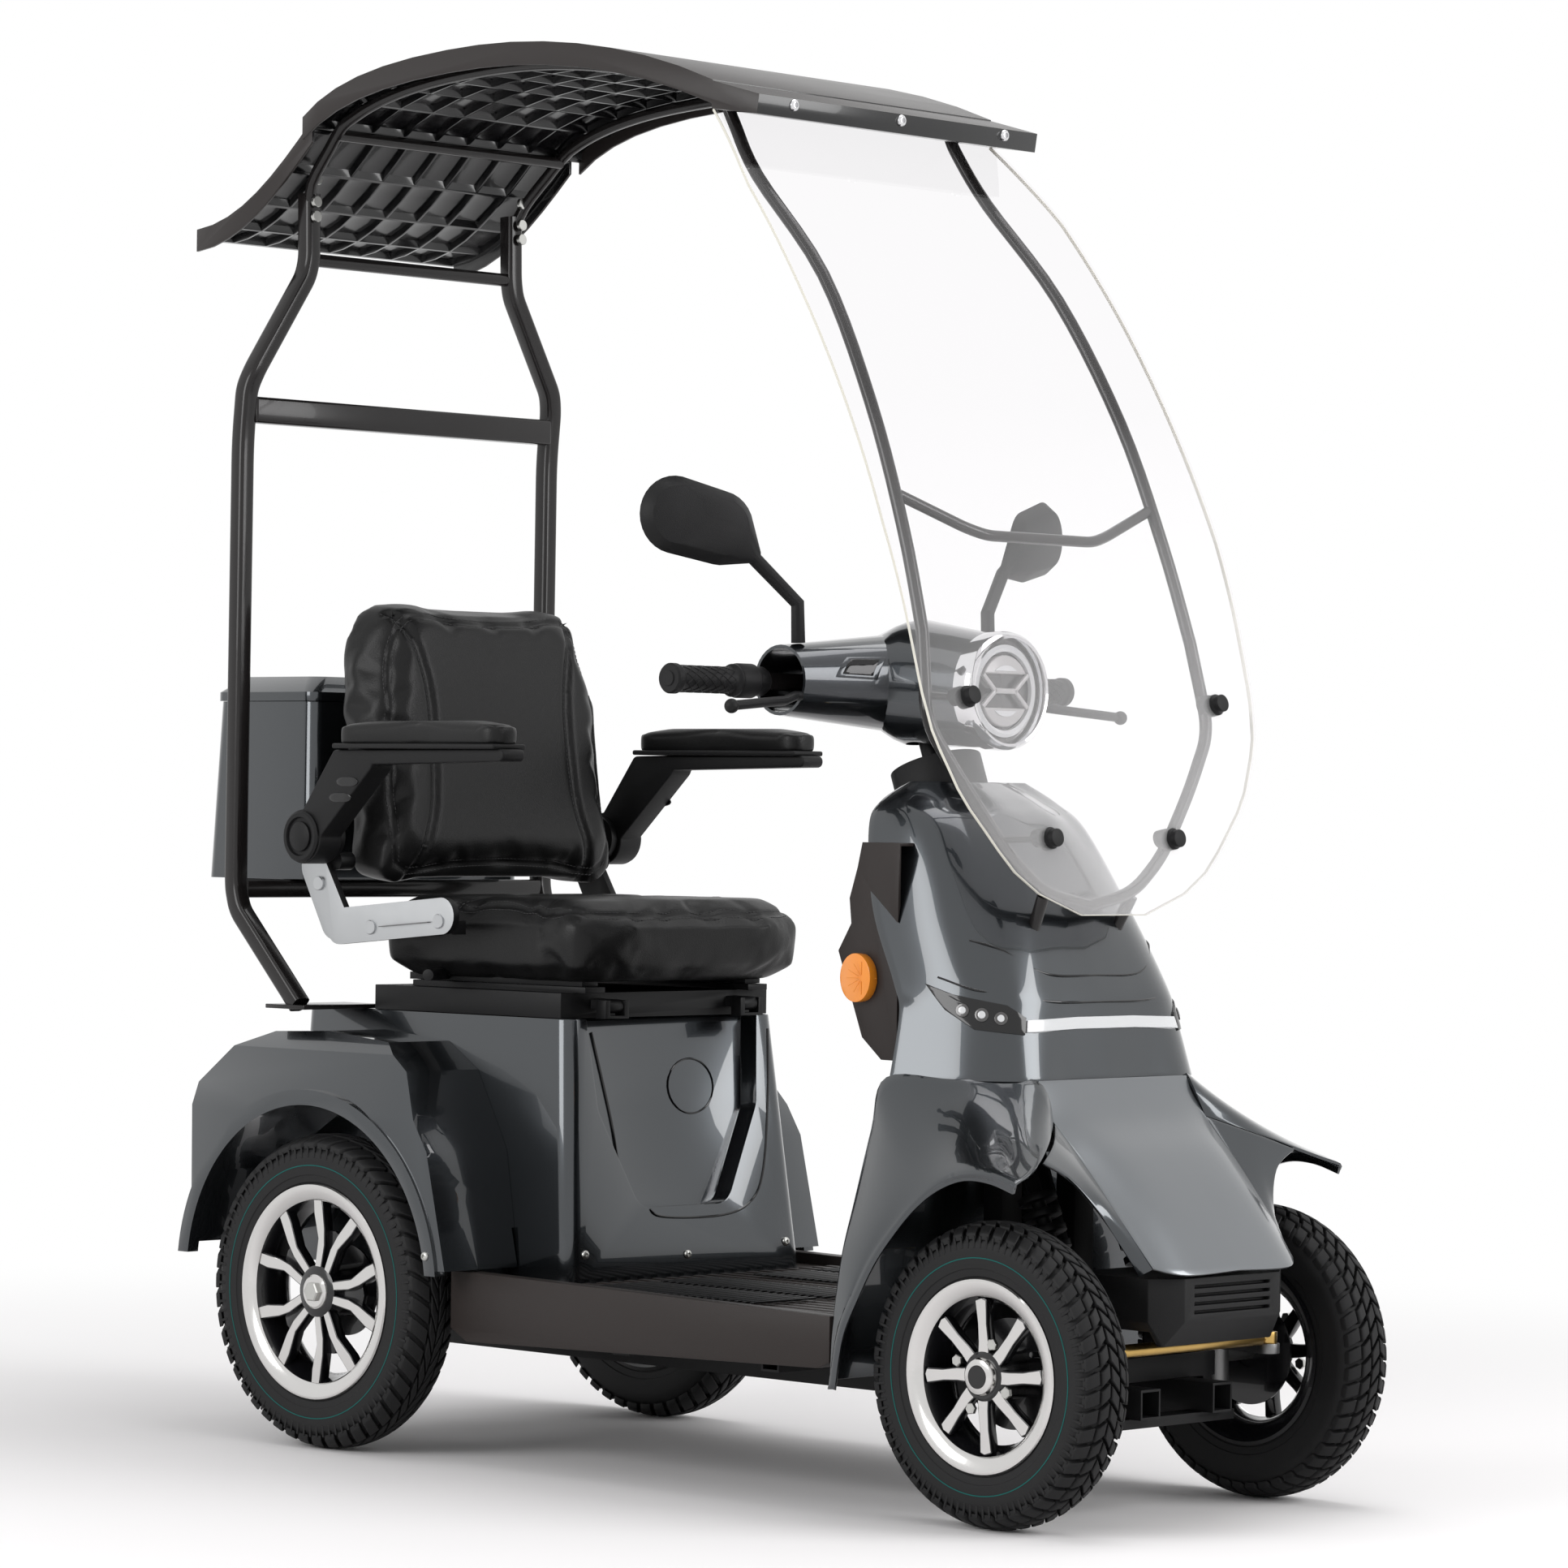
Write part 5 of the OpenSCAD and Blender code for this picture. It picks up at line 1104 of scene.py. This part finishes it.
def softCopy(node, name, shrinkBy, cap, voxel=0.0055, flatBack=False):
    piece = nodes[node].copy()
    piece.data = nodes[node].data.copy()
    for key in list(piece.keys()):
        if key.startswith("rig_"):
            del piece[key]
    piece.name = name
    scene.collection.objects.link(piece)
    piece.parent = None
    piece.data.materials.clear()
    piece.data.materials.append(seatLeather)
    box = [Vector(v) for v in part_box(node)]
    middle, size = (box[0] + box[1]) / 2, box[1] - box[0]
    for v in piece.data.vertices:
        for k in range(3):
            v.co[k] = middle[k] + (v.co[k] - middle[k]) * (1 - 2 * shrinkBy / size[k])
    work = bmesh.new()
    work.from_mesh(piece.data)
    bmesh.ops.remove_doubles(work, verts=work.verts, dist=0.00002)
    work.to_mesh(piece.data)
    work.free()
    return inflate(piece, cap, voxel, flatBack=flatBack)


def groove(piece, path, depth, width, closed=False):
    # presses a seam into a soft piece along a path
    dense = []
    for a, b in zip(path, path[1:] + (path[:1] if closed else [])):
        count = max(1, int((b - a).length / 0.0012))
        dense += [a + (b - a) * k / count for k in range(count)]
    tree = KDTree(len(dense))
    for k, p in enumerate(dense):
        tree.insert(p, k)
    tree.balance()
    for v in piece.data.vertices:
        gap = tree.find(v.co)[2]
        if gap < width * 3:
            v.co -= v.normal * depth * math.exp(-(gap / width) ** 2)
    piece.data.update()


def treeOf(piece):
    return BVHTree.FromPolygons([v.co for v in piece.data.vertices], [p.vertices for p in piece.data.polygons])


def rim(tree, middle, look, across, inset, count=72):
    # the outline of a soft piece seen from one side, drawn in a little and laid on it
    look, across = Vector(look), Vector(across)
    rise = look.cross(across)
    path = []
    for k in range(count):
        a = 2 * math.pi * k / count
        way = across * math.cos(a) + rise * math.sin(a)
        lo, hi = 0.02, 0.4
        for _ in range(11):
            mid = (lo + hi) / 2
            hit = tree.ray_cast(middle + way * mid + look * 0.4, -look, 0.8)[0]
            lo, hi = (mid, hi) if hit else (lo, mid)
        hit = tree.ray_cast(middle + way * (lo - inset) + look * 0.4, -look, 0.8)[0]
        path.append(hit if hit else middle + way * (lo - inset))
    return path


def overSurface(tree, points, look, steps=10):
    # a smooth path through points, laid on a soft piece
    look = Vector(look)
    path = []
    for p in smoothPath([spot(*q) for q in points], steps):
        hit = tree.ray_cast(p + look * 0.3, -look, 0.8)[0]
        if hit:
            path.append(hit)
    return path


def lineOf(name, path, closed=False):
    # a bare line, for stitches to follow
    mesh = bpy.data.meshes.new(name)
    n = len(path)
    mesh.from_pydata([tuple(p) for p in path], [(k, (k + 1) % n) for k in range(n if closed else n - 1)], [])
    piece = bpy.data.objects.new(name, mesh)
    scene.collection.objects.link(piece)
    return piece


def stitchAlong(name, path, look, aside, node, tree, closed=False):
    # a row of threads beside a seam
    look = Vector(look)
    row = []
    n = len(path)
    for k in range(n):
        ahead = path[(k + 1) % n] if closed or k < n - 1 else path[k]
        behind = path[k - 1] if closed or k > 0 else path[k]
        out = (ahead - behind).cross(look).normalized() * aside
        hit = tree.ray_cast(path[k] + out + look * 0.1, -look, 0.3)[0]
        row.append((hit if hit else path[k] + out) + look * 0.0002)
    piece = grow(lineOf(name, row, closed), stitchTree, Length=0.0042, Radius=0.00055, Gap=0.006,
                 Material=threadPale)
    return seat(piece, node)


def seamed(piece, node, name, path, look, closed=False, depth=0.0028, width=0.0042, rows=(0.004,)):
    groove(piece, path, depth, width, closed)
    tree = treeOf(piece)
    for k, aside in enumerate(rows):
        stitchAlong(name + str(k), path, look, aside, node, tree, closed)


cushion = softCopy("seat_cushion", "cushionLeather", 0.004, 0.016, 0.006)
back = softCopy("backrest", "backrestLeather", 0.004, 0.016, 0.006, True)
backFront = (1, 0, 0)
tree = treeOf(back)
edgePath = rim(tree, spot(-620, 0, 925), backFront, (0, 1, 0), 0.02)
seamed(back, "backrest", "backEdge", edgePath, backFront, True, 0.0035, 0.005, (0.0045, -0.0045))
for word, sign in (("Left", 1), ("Right", -1)):
    seam = overSurface(tree, [(-600, sign * y, z) for y, z in (
        (162, 1100), (145, 1071), (127, 1000), (125, 926), (131, 848), (148, 793), (164, 737))], backFront)
    seamed(back, "backrest", "backSeam" + word, seam, backFront, False, 0.0055, 0.007, (0.0045,))
seat(back, "backrest")
tree = treeOf(cushion)
upward = (0, 0, 1)
edgePath = rim(tree, spot(-370, 0, 690), upward, (1, 0, 0), 0.017)
seamed(cushion, "seat_cushion", "cushionEdge", edgePath, upward, True, 0.003, 0.005, (0.0045, -0.0045))
seam = overSurface(tree, [(-475, -200, 700), (-440, -150, 700), (-415, -70, 700), (-408, 0, 700), (-415, 70, 700),
                          (-440, 150, 700), (-475, 200, 700)], upward)
seamed(cushion, "seat_cushion", "cushionSeam", seam, upward, False, 0.006, 0.011, (0.0045,))
seat(cushion, "seat_cushion")
for word in ("left", "right"):
    pad = softCopy(word + "_pad", word + "PadLeather", 0.004, 0.006, 0.004)
    tree = treeOf(pad)
    lo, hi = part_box(word + "_pad")
    middle = (Vector(lo) + Vector(hi)) / 2
    path = rim(tree, middle, upward, (1, 0, 0), 0.005, 60)
    seamed(pad, word + "_pad", word + "PadEdge", path, upward, True, 0.0012, 0.003, ())
    seat(pad, word + "_pad")
    shellPlate = slab(word + "PadShell", (lo[0] + 0.003, lo[1] + 0.002, lo[2] - 0.0008),
                      (hi[0] - 0.003, hi[1] - 0.002, lo[2] + 0.006), matPlastic, 0.0025, 3)
    seat(shellPlate, word + "_pad")
print("soft pieces made")

for word, sign in (("left", 1), ("right", -1)):
    out = (0, sign, 0)
    keepShape(word + "_arm", matPlastic, bevel=0.004, segments=3, angle=40)
    arm = onNode(word + "_arm", out)
    pivot = arm(-640, sign * 296, 800, 0.0)
    ring = lathe(word + "ArmRing", [(0, -0.001), (0.034, -0.001), (0.034, 0.003), (0.031, 0.0055), (0.026, 0.0055),
                                    (0.0245, 0.002), (0.020, 0.002), (0.0195, 0.005), (0.017, 0.0065), (0, 0.0065)],
                 gripRubber, pivot, out, 48)
    seat(ring, word + "_arm")
    for k, (x, z) in enumerate(((-551, 873), (-565, 852))):
        pill = [(x + 15 * math.cos(a) + (6 if math.cos(a) > 0 else -6), sign * 296, z + 6 * math.sin(a))
                for a in [math.radians(20 * i) for i in range(18)]]
        seat(lay(word + "ArmPill" + str(k), pill, arm, 0.0014, blackGloss, 0.002, 0.0005, 3, out), word + "_arm")
plates = keepShape("side_brackets", framePaint, bevel=0.0018, segments=3)
paintWhere(plates, satinSteel, lambda c, n: abs(n.y) > 0.9 and abs(c.y) > 0.2545)
for word, sign in (("Left", 1), ("Right", -1)):
    plateSide = onNode("side_brackets", (0, sign, 0))
    for k, (x, z) in enumerate(((-650, 738), (-546, 682), (-414, 693))):
        seat(disc("bracketCap" + word + str(k), plateSide(x, sign * 256, z, -0.001), (0, sign, 0), 0.0095, 0.0042,
                  satinSteel), "side_brackets")
    slotLine = [(-525 + 95 * k / 10, sign * 256, 683.5 + 9 * k / 10 * 0.9) for k in range(11)]
    path = [plateSide(*p, 0.0) for p in slotLine]
    seat(sweepShape("bracketSlot" + word, path, boxOutline(0.012, 0.0012, 0.0004, 2), castMetal), "side_brackets")
print("seat made")


# handlebar, lamp and mirrors
def helixPath(centre, axis, radius, length, turns, start, steps=36):
    lift = Vector(axis).normalized().to_track_quat("Z", "Y").to_matrix()
    return [Vector(centre) + lift @ Vector((radius * math.cos(start + turns * 2 * math.pi * k / steps),
                                            radius * math.sin(start + turns * 2 * math.pi * k / steps),
                                            length * k / steps)) for k in range(steps + 1)]


barX, barZ = 115, 1003
for word, sign in (("Left", 1), ("Right", -1)):
    out = (0, sign, 0)
    inner = spot(barX, sign * 253, barZ)
    profile = [(0, 0), (0.0185, 0), (0.0205, 0.001), (0.0205, 0.004), (0.0175, 0.0065), (0.0163, 0.010),
               (0.0160, 0.050), (0.0163, 0.098), (0.0172, 0.101), (0.0188, 0.103), (0.0188, 0.111),
               (0.0170, 0.1135), (0, 0.1135)]
    pieces = [lathe("grip" + word, profile, gripRubber, inner, out, 40)]
    first = inner + Vector(out) * 0.012
    for k in range(9):
        for turns in (0.62, -0.62):
            pieces.append(tube("weave", helixPath(first, out, 0.0161, 0.084, turns, 2 * math.pi * k / 9), 0.0009,
                               gripRubber, 5))
    pieces.append(disc("barEnd", spot(barX, sign * 366.2, barZ), out, 0.0095, 0.0018, matPlastic))
    seat(joined("grip" + word, pieces), "grips")
    housing = [(0.0, -0.05), (0.0165, -0.05), (0.0185, -0.046), (0.0185, -0.032), (0.0215, -0.028), (0.0215, -0.004),
               (0.0200, 0.0), (0.0, 0.0)]
    seat(lathe("switchBody" + word, housing, matPlastic, inner, out, 36), "handlebar")
keepShape("brake_levers", matPlastic, bevel=0.0012)
for word, sign in (("Left", 1), ("Right", -1)):
    land = onNode("head_cowl", (0.35, sign * 0.7, 0.5))
    vent = [(191, sign * 151, 1009), (188, sign * 128, 1034), (206, sign * 75, 1036), (209, sign * 94, 1007)]
    seat(lay("cowlVent" + word, denser(vent, 6), land, 0.0006, bodyPaint, 0.002, 0.0008, 4, (0.35, sign * 0.7, 0.5)),
         "head_cowl")
    seat(lay("cowlVentInner" + word, denser([(Vector(p) - Vector((198, sign * 112, 1021))) * 0.72 +
                                             Vector((198, sign * 112, 1021)) for p in vent], 6), land, 0.0016,
             blackGloss, 0.002, 0.0006, 4, (0.35, sign * 0.7, 0.5)), "head_cowl")

lampAt = spot(324.3, 0, 995)
forward = (1, 0, 0)
bezel = [(0.0700, -0.012), (0.0735, -0.008), (0.0740, 0.012), (0.0722, 0.0200), (0.0690, 0.0235), (0.0655, 0.0225),
         (0.0630, 0.0150), (0.0625, 0.002)]
seat(lathe("lampBezel", bezel, brightChrome, lampAt, forward, 72, closed=True), "headlamp")
seat(lathe("lampBowl", [(0, 0.004), (0.040, 0.004), (0.0635, 0.008), (0.0650, -0.010), (0, -0.010)], lampDark,
           lampAt, forward, 64), "headlamp")
halo = [(0.0485, 0.008), (0.0560, 0.008), (0.0575, 0.0125), (0.0530, 0.0155), (0.0490, 0.0130)]
seat(lathe("lampHalo", halo, paleLens, lampAt, forward, 64, closed=True), "headlamp")


def lampLens(name, low, high, material, wide, depth):
    # half of the round lens, above or below the middle bar
    outline = []
    for k in range(25):
        a = math.radians(low + (high - low) * k / 24)
        outline.append((wide * math.cos(a), wide * math.sin(a)))
    shifted = [(y, lampAt.z + z) for y, z in outline]
    return plate(name, shifted, lampAt.x + 0.004, lampAt.x + depth, "front", material, bevel=0.0028, segments=3)


for name, low, high in (("Upper", 28, 152), ("Lower", 208, 332)):
    seat(lampLens("lens" + name, low, high, frostLens, 0.0445, 0.0135), "headlamp")
    seat(lampLens("lensCore" + name, low + 22, high - 22, paleLens, 0.032, 0.0150), "headlamp")
for k, a in enumerate((0, 180)):
    turn = math.radians(a)
    for j, b in enumerate((26, -26)):
        tip = turn + math.radians(b)
        path = [lampAt + Vector((0.0125, 0.018 * math.cos(turn), 0)),
                lampAt + Vector((0.0125, 0.046 * math.cos(tip), 0.046 * math.sin(tip)))]
        seat(sweepShape("lampFork" + str(k) + str(j), path, boxOutline(0.006, 0.005, 0.0018), frostLens, up=(1, 0, 0)),
             "headlamp")
seat(sweepShape("lampBar", [lampAt + Vector((0.0125, -0.019, 0)), lampAt + Vector((0.0125, 0.019, 0))],
                boxOutline(0.007, 0.005, 0.0018), frostLens, up=(1, 0, 0)), "headlamp")

keepShape("mirrors", matPlastic, bevel=0.001, smooth=50)
mirrorTree = onNode("mirrors", (-1, 0, 0))
for word, sign in (("Left", 1), ("Right", -1)):
    oval = [(90, sign * 312 + 56 * math.cos(a), 1199 + 38 * math.sin(a)) for a in
            [math.radians(15 * k) for k in range(24)]]
    seat(lay("mirrorGlass" + word, oval, mirrorTree, 0.0006, mirrorGlass, 0.0012, 0.0003, 4, (-1, 0, 0)), "mirrors")
print("lamp, bar and mirrors made")

# rear body, box and floor
keepShape("rear_fenders", bodyPaint, bevel=0.005, segments=3, angle=22, smooth=40)
keepShape("rear_box", bodyPaint, bevel=0.006, segments=3)
keepShape("box_lid", bodyPaint, bevel=0.004, segments=3)
keepShape("tail_lights", redLens, bevel=0.0012)
keepShape("side_reflectors", amberLens, bevel=0.001)
keepShape("spring_units", framePaint, bevel=0.0006)
keepShape("tie_rod", goldZinc, bevel=0.0008)
for word, sign in (("Left", 1), ("Right", -1)):
    out = Vector((0.35, sign * 0.94, 0))
    spokes = slab("reflectorRay", (0.004, -0.0004, 0), (0.020, 0.0004, 0.0006), amberLens, 0.0002, 1)
    rays = grow(spokes, repeatTree, Count=12, Step=(0.0, 0.0, math.pi / 6), Shift=(0.0, 0.0, 0.0),
                Material=amberLens)
    lift = out.to_track_quat("Z", "Y").to_matrix().to_4x4()
    hits = onNode("side_reflectors", out)
    place = hits(271, sign * 178, 640, 0.0002)
    rays.data.transform(Matrix.Translation(place) @ lift)
    rays.name = "reflectorRays" + word
    seat(rays, "side_reflectors")

front = onNode("seat_pedestal", (1, 0, 0))
flap = [(-262, -122, 552), (-253, -96, 438), (-216, -84, 361), (-212, -66, 326), (-211, -36, 312), (-210, 69, 310),
        (-212, 124, 326), (-216, 151, 367), (-227, 168, 463), (-240, 176, 552)]
flapPath = [front(*p, 0.0004) for p in smoothPath(flap, 6)]
seat(tube("flapLine", flapPath, 0.0016, blackGloss, 8), "seat_pedestal")
ring = [(-258, 53 + 42 * math.cos(a), 478 + 36 * math.sin(a)) for a in [math.radians(12 * k) for k in range(30)]]
seat(tube("flapCap", [front(*p, 0.0003) for p in ring], 0.0013, blackGloss, 8, closed=True), "seat_pedestal")
for k, (y, z) in enumerate(((-185, 270), (0, 262), (185, 270))):
    boltOn("flapScrew" + str(k), "seat_pedestal", front, -200, y, z, (1, 0, 0), 0.006, 0.0035, zincSteel)
for word, sign in (("Left", 1), ("Right", -1)):
    side = onNode("rear_fenders", (0, sign, 0))
    boltOn("fenderScrew" + word, "rear_fenders", side, -330, sign * 300, 268, (0, sign, 0), 0.006, 0.0035, zincSteel)

ribSettings = {"pitch": 0.0135, "height": 0.0025, "rows": 22, "width": 0.0065}
for word, sign in (("Left", 1), ("Right", -1)):
    for part, y0, y1 in (("Outer", 0.150, 0.262), ("Inner", 0.034, 0.136)):
        lo, hi = min(sign * y0, sign * y1), max(sign * y0, sign * y1)
        rib = slab("rib", (midX - 0.118, lo, 0.2385), (midX - 0.118 + ribSettings["width"], hi,
                                                      0.2385 + ribSettings["height"]), matPlastic, 0.001, 2)
        ribs = grow(rib, repeatTree, Count=ribSettings["rows"], Step=(0.0, 0.0, 0.0),
                    Shift=(ribSettings["pitch"], 0.0, 0.0), Material=matPlastic)
        ribs.name = "matRibs" + part + word
        seat(ribs, "floor_pan")
print("rear body and floor made")


def makeFloor(radius=9.0):
    bpy.ops.mesh.primitive_circle_add(vertices=96, radius=radius, fill_type="NGON")
    floor = bpy.context.object
    floor.name = "studioFloor"
    mat = bpy.data.materials.new("studioFloor")
    mat.use_nodes = True
    tree = mat.node_tree
    shade = tree.nodes["Principled BSDF"]
    shade.inputs["Base Color"].default_value = (0.93, 0.915, 0.92, 1)
    shade.inputs["Roughness"].default_value = 0.75
    shade.inputs["Specular IOR Level"].default_value = 0.2
    glow = tree.nodes.new("ShaderNodeEmission")
    glow.inputs["Color"].default_value = (1, 1, 1, 1)
    mix = tree.nodes.new("ShaderNodeMixShader")
    coord = tree.nodes.new("ShaderNodeTexCoord")
    reach = tree.nodes.new("ShaderNodeVectorMath")
    reach.operation = "LENGTH"
    link(tree, coord.outputs["Object"], reach.inputs[0])
    fade = tree.nodes.new("ShaderNodeMapRange")
    fade.interpolation_type = "SMOOTHSTEP"
    fade.inputs["From Min"].default_value = 0.9
    fade.inputs["From Max"].default_value = 3.2
    link(tree, reach.outputs["Value"], fade.inputs["Value"])
    path = tree.nodes.new("ShaderNodeLightPath")
    seen = tree.nodes.new("ShaderNodeMath")
    seen.operation = "MAXIMUM"
    link(tree, path.outputs["Is Camera Ray"], seen.inputs[0])
    link(tree, path.outputs["Is Glossy Ray"], seen.inputs[1])
    seenThrough = tree.nodes.new("ShaderNodeMath")
    seenThrough.operation = "MAXIMUM"
    link(tree, seen.outputs[0], seenThrough.inputs[0])
    link(tree, path.outputs["Is Transmission Ray"], seenThrough.inputs[1])
    amount = tree.nodes.new("ShaderNodeMath")
    amount.operation = "MULTIPLY"
    link(tree, fade.outputs["Result"], amount.inputs[0])
    link(tree, seenThrough.outputs[0], amount.inputs[1])
    out = tree.nodes["Material Output"]
    link(tree, amount.outputs[0], mix.inputs["Fac"])
    link(tree, shade.outputs[0], mix.inputs[1])
    link(tree, glow.outputs[0], mix.inputs[2])
    link(tree, mix.outputs[0], out.inputs["Surface"])
    floor.data.materials.append(mat)
    return floor


def makeWorld(level=0.55):
    world = bpy.data.worlds.new("studioWorld")
    scene.world = world
    world.use_nodes = True
    tree = world.node_tree
    tree.nodes.clear()
    out = tree.nodes.new("ShaderNodeOutputWorld")
    fill = tree.nodes.new("ShaderNodeBackground")
    fill.inputs["Color"].default_value = (1, 1, 1, 1)
    fill.inputs["Strength"].default_value = level
    white = tree.nodes.new("ShaderNodeBackground")
    white.inputs["Color"].default_value = (1, 1, 1, 1)
    white.inputs["Strength"].default_value = 1.0
    path = tree.nodes.new("ShaderNodeLightPath")
    seen = tree.nodes.new("ShaderNodeMath")
    seen.operation = "MAXIMUM"
    link(tree, path.outputs["Is Camera Ray"], seen.inputs[0])
    link(tree, path.outputs["Is Glossy Ray"], seen.inputs[1])
    through = tree.nodes.new("ShaderNodeMath")
    through.operation = "MAXIMUM"
    link(tree, seen.outputs[0], through.inputs[0])
    link(tree, path.outputs["Is Transmission Ray"], through.inputs[1])
    mix = tree.nodes.new("ShaderNodeMixShader")
    link(tree, through.outputs[0], mix.inputs["Fac"])
    link(tree, fill.outputs[0], mix.inputs[1])
    link(tree, white.outputs[0], mix.inputs[2])
    link(tree, mix.outputs[0], out.inputs["Surface"])


def softbox(name, place, target, width, height, power):
    lamp = bpy.data.lights.new(name, "AREA")
    lamp.shape = "RECTANGLE"
    lamp.size = width
    lamp.size_y = height
    lamp.energy = power
    holder = bpy.data.objects.new(name, lamp)
    scene.collection.objects.link(holder)
    holder.location = place
    holder.rotation_euler = (Vector(target) - Vector(place)).to_track_quat("-Z", "Y").to_euler()
    return holder


makeFloor()
makeWorld()
softbox("frontBox", (4.2, 1.6, 2.4), (0.2, 0, 0.8), 2.2, 2.6, 110)
softbox("sideBox", (-0.8, -4.4, 2.2), (0, 0, 0.7), 2.6, 2.2, 90)
softbox("topBox", (0.4, 0.6, 4.6), (0, 0, 0.6), 3.0, 2.4, 60)


def makeCamera():
    # stands where the photograph was taken from, with the long lens it was taken with
    lens = {"azimuth": 44.03, "elevation": -0.2054, "roll": 0.7687, "focalPixels": 6844.67,
            "place": (5.03189, -5.13457, 0.85159), "centre": (966.25, 965.98), "frame": 1932}
    a, e, r = (math.radians(lens[k]) for k in ("azimuth", "elevation", "roll"))
    back = Vector((math.sin(a) * math.cos(e), -math.cos(a) * math.cos(e), math.sin(e)))
    right = Vector((math.cos(a), math.sin(a), 0))
    up = back.cross(right)
    right, up = (right * math.cos(r) + up * math.sin(r)), (up * math.cos(r) - right * math.sin(r))
    data = bpy.data.cameras.new("photoCamera")
    data.sensor_width = 36
    data.lens = lens["focalPixels"] * 36 / lens["frame"]
    data.shift_x = (lens["frame"] / 2 - lens["centre"][0]) / lens["frame"]
    data.shift_y = (lens["centre"][1] - lens["frame"] / 2) / lens["frame"]
    data.clip_end = 60
    camera = bpy.data.objects.new("photoCamera", data)
    scene.collection.objects.link(camera)
    camera.matrix_world = Matrix((
        (right.x, up.x, back.x, lens["place"][0]), (right.y, up.y, back.y, lens["place"][1]),
        (right.z, up.z, back.z, lens["place"][2]), (0, 0, 0, 1)))
    scene.camera = camera


makeCamera()
scene.view_settings.view_transform = "Standard"
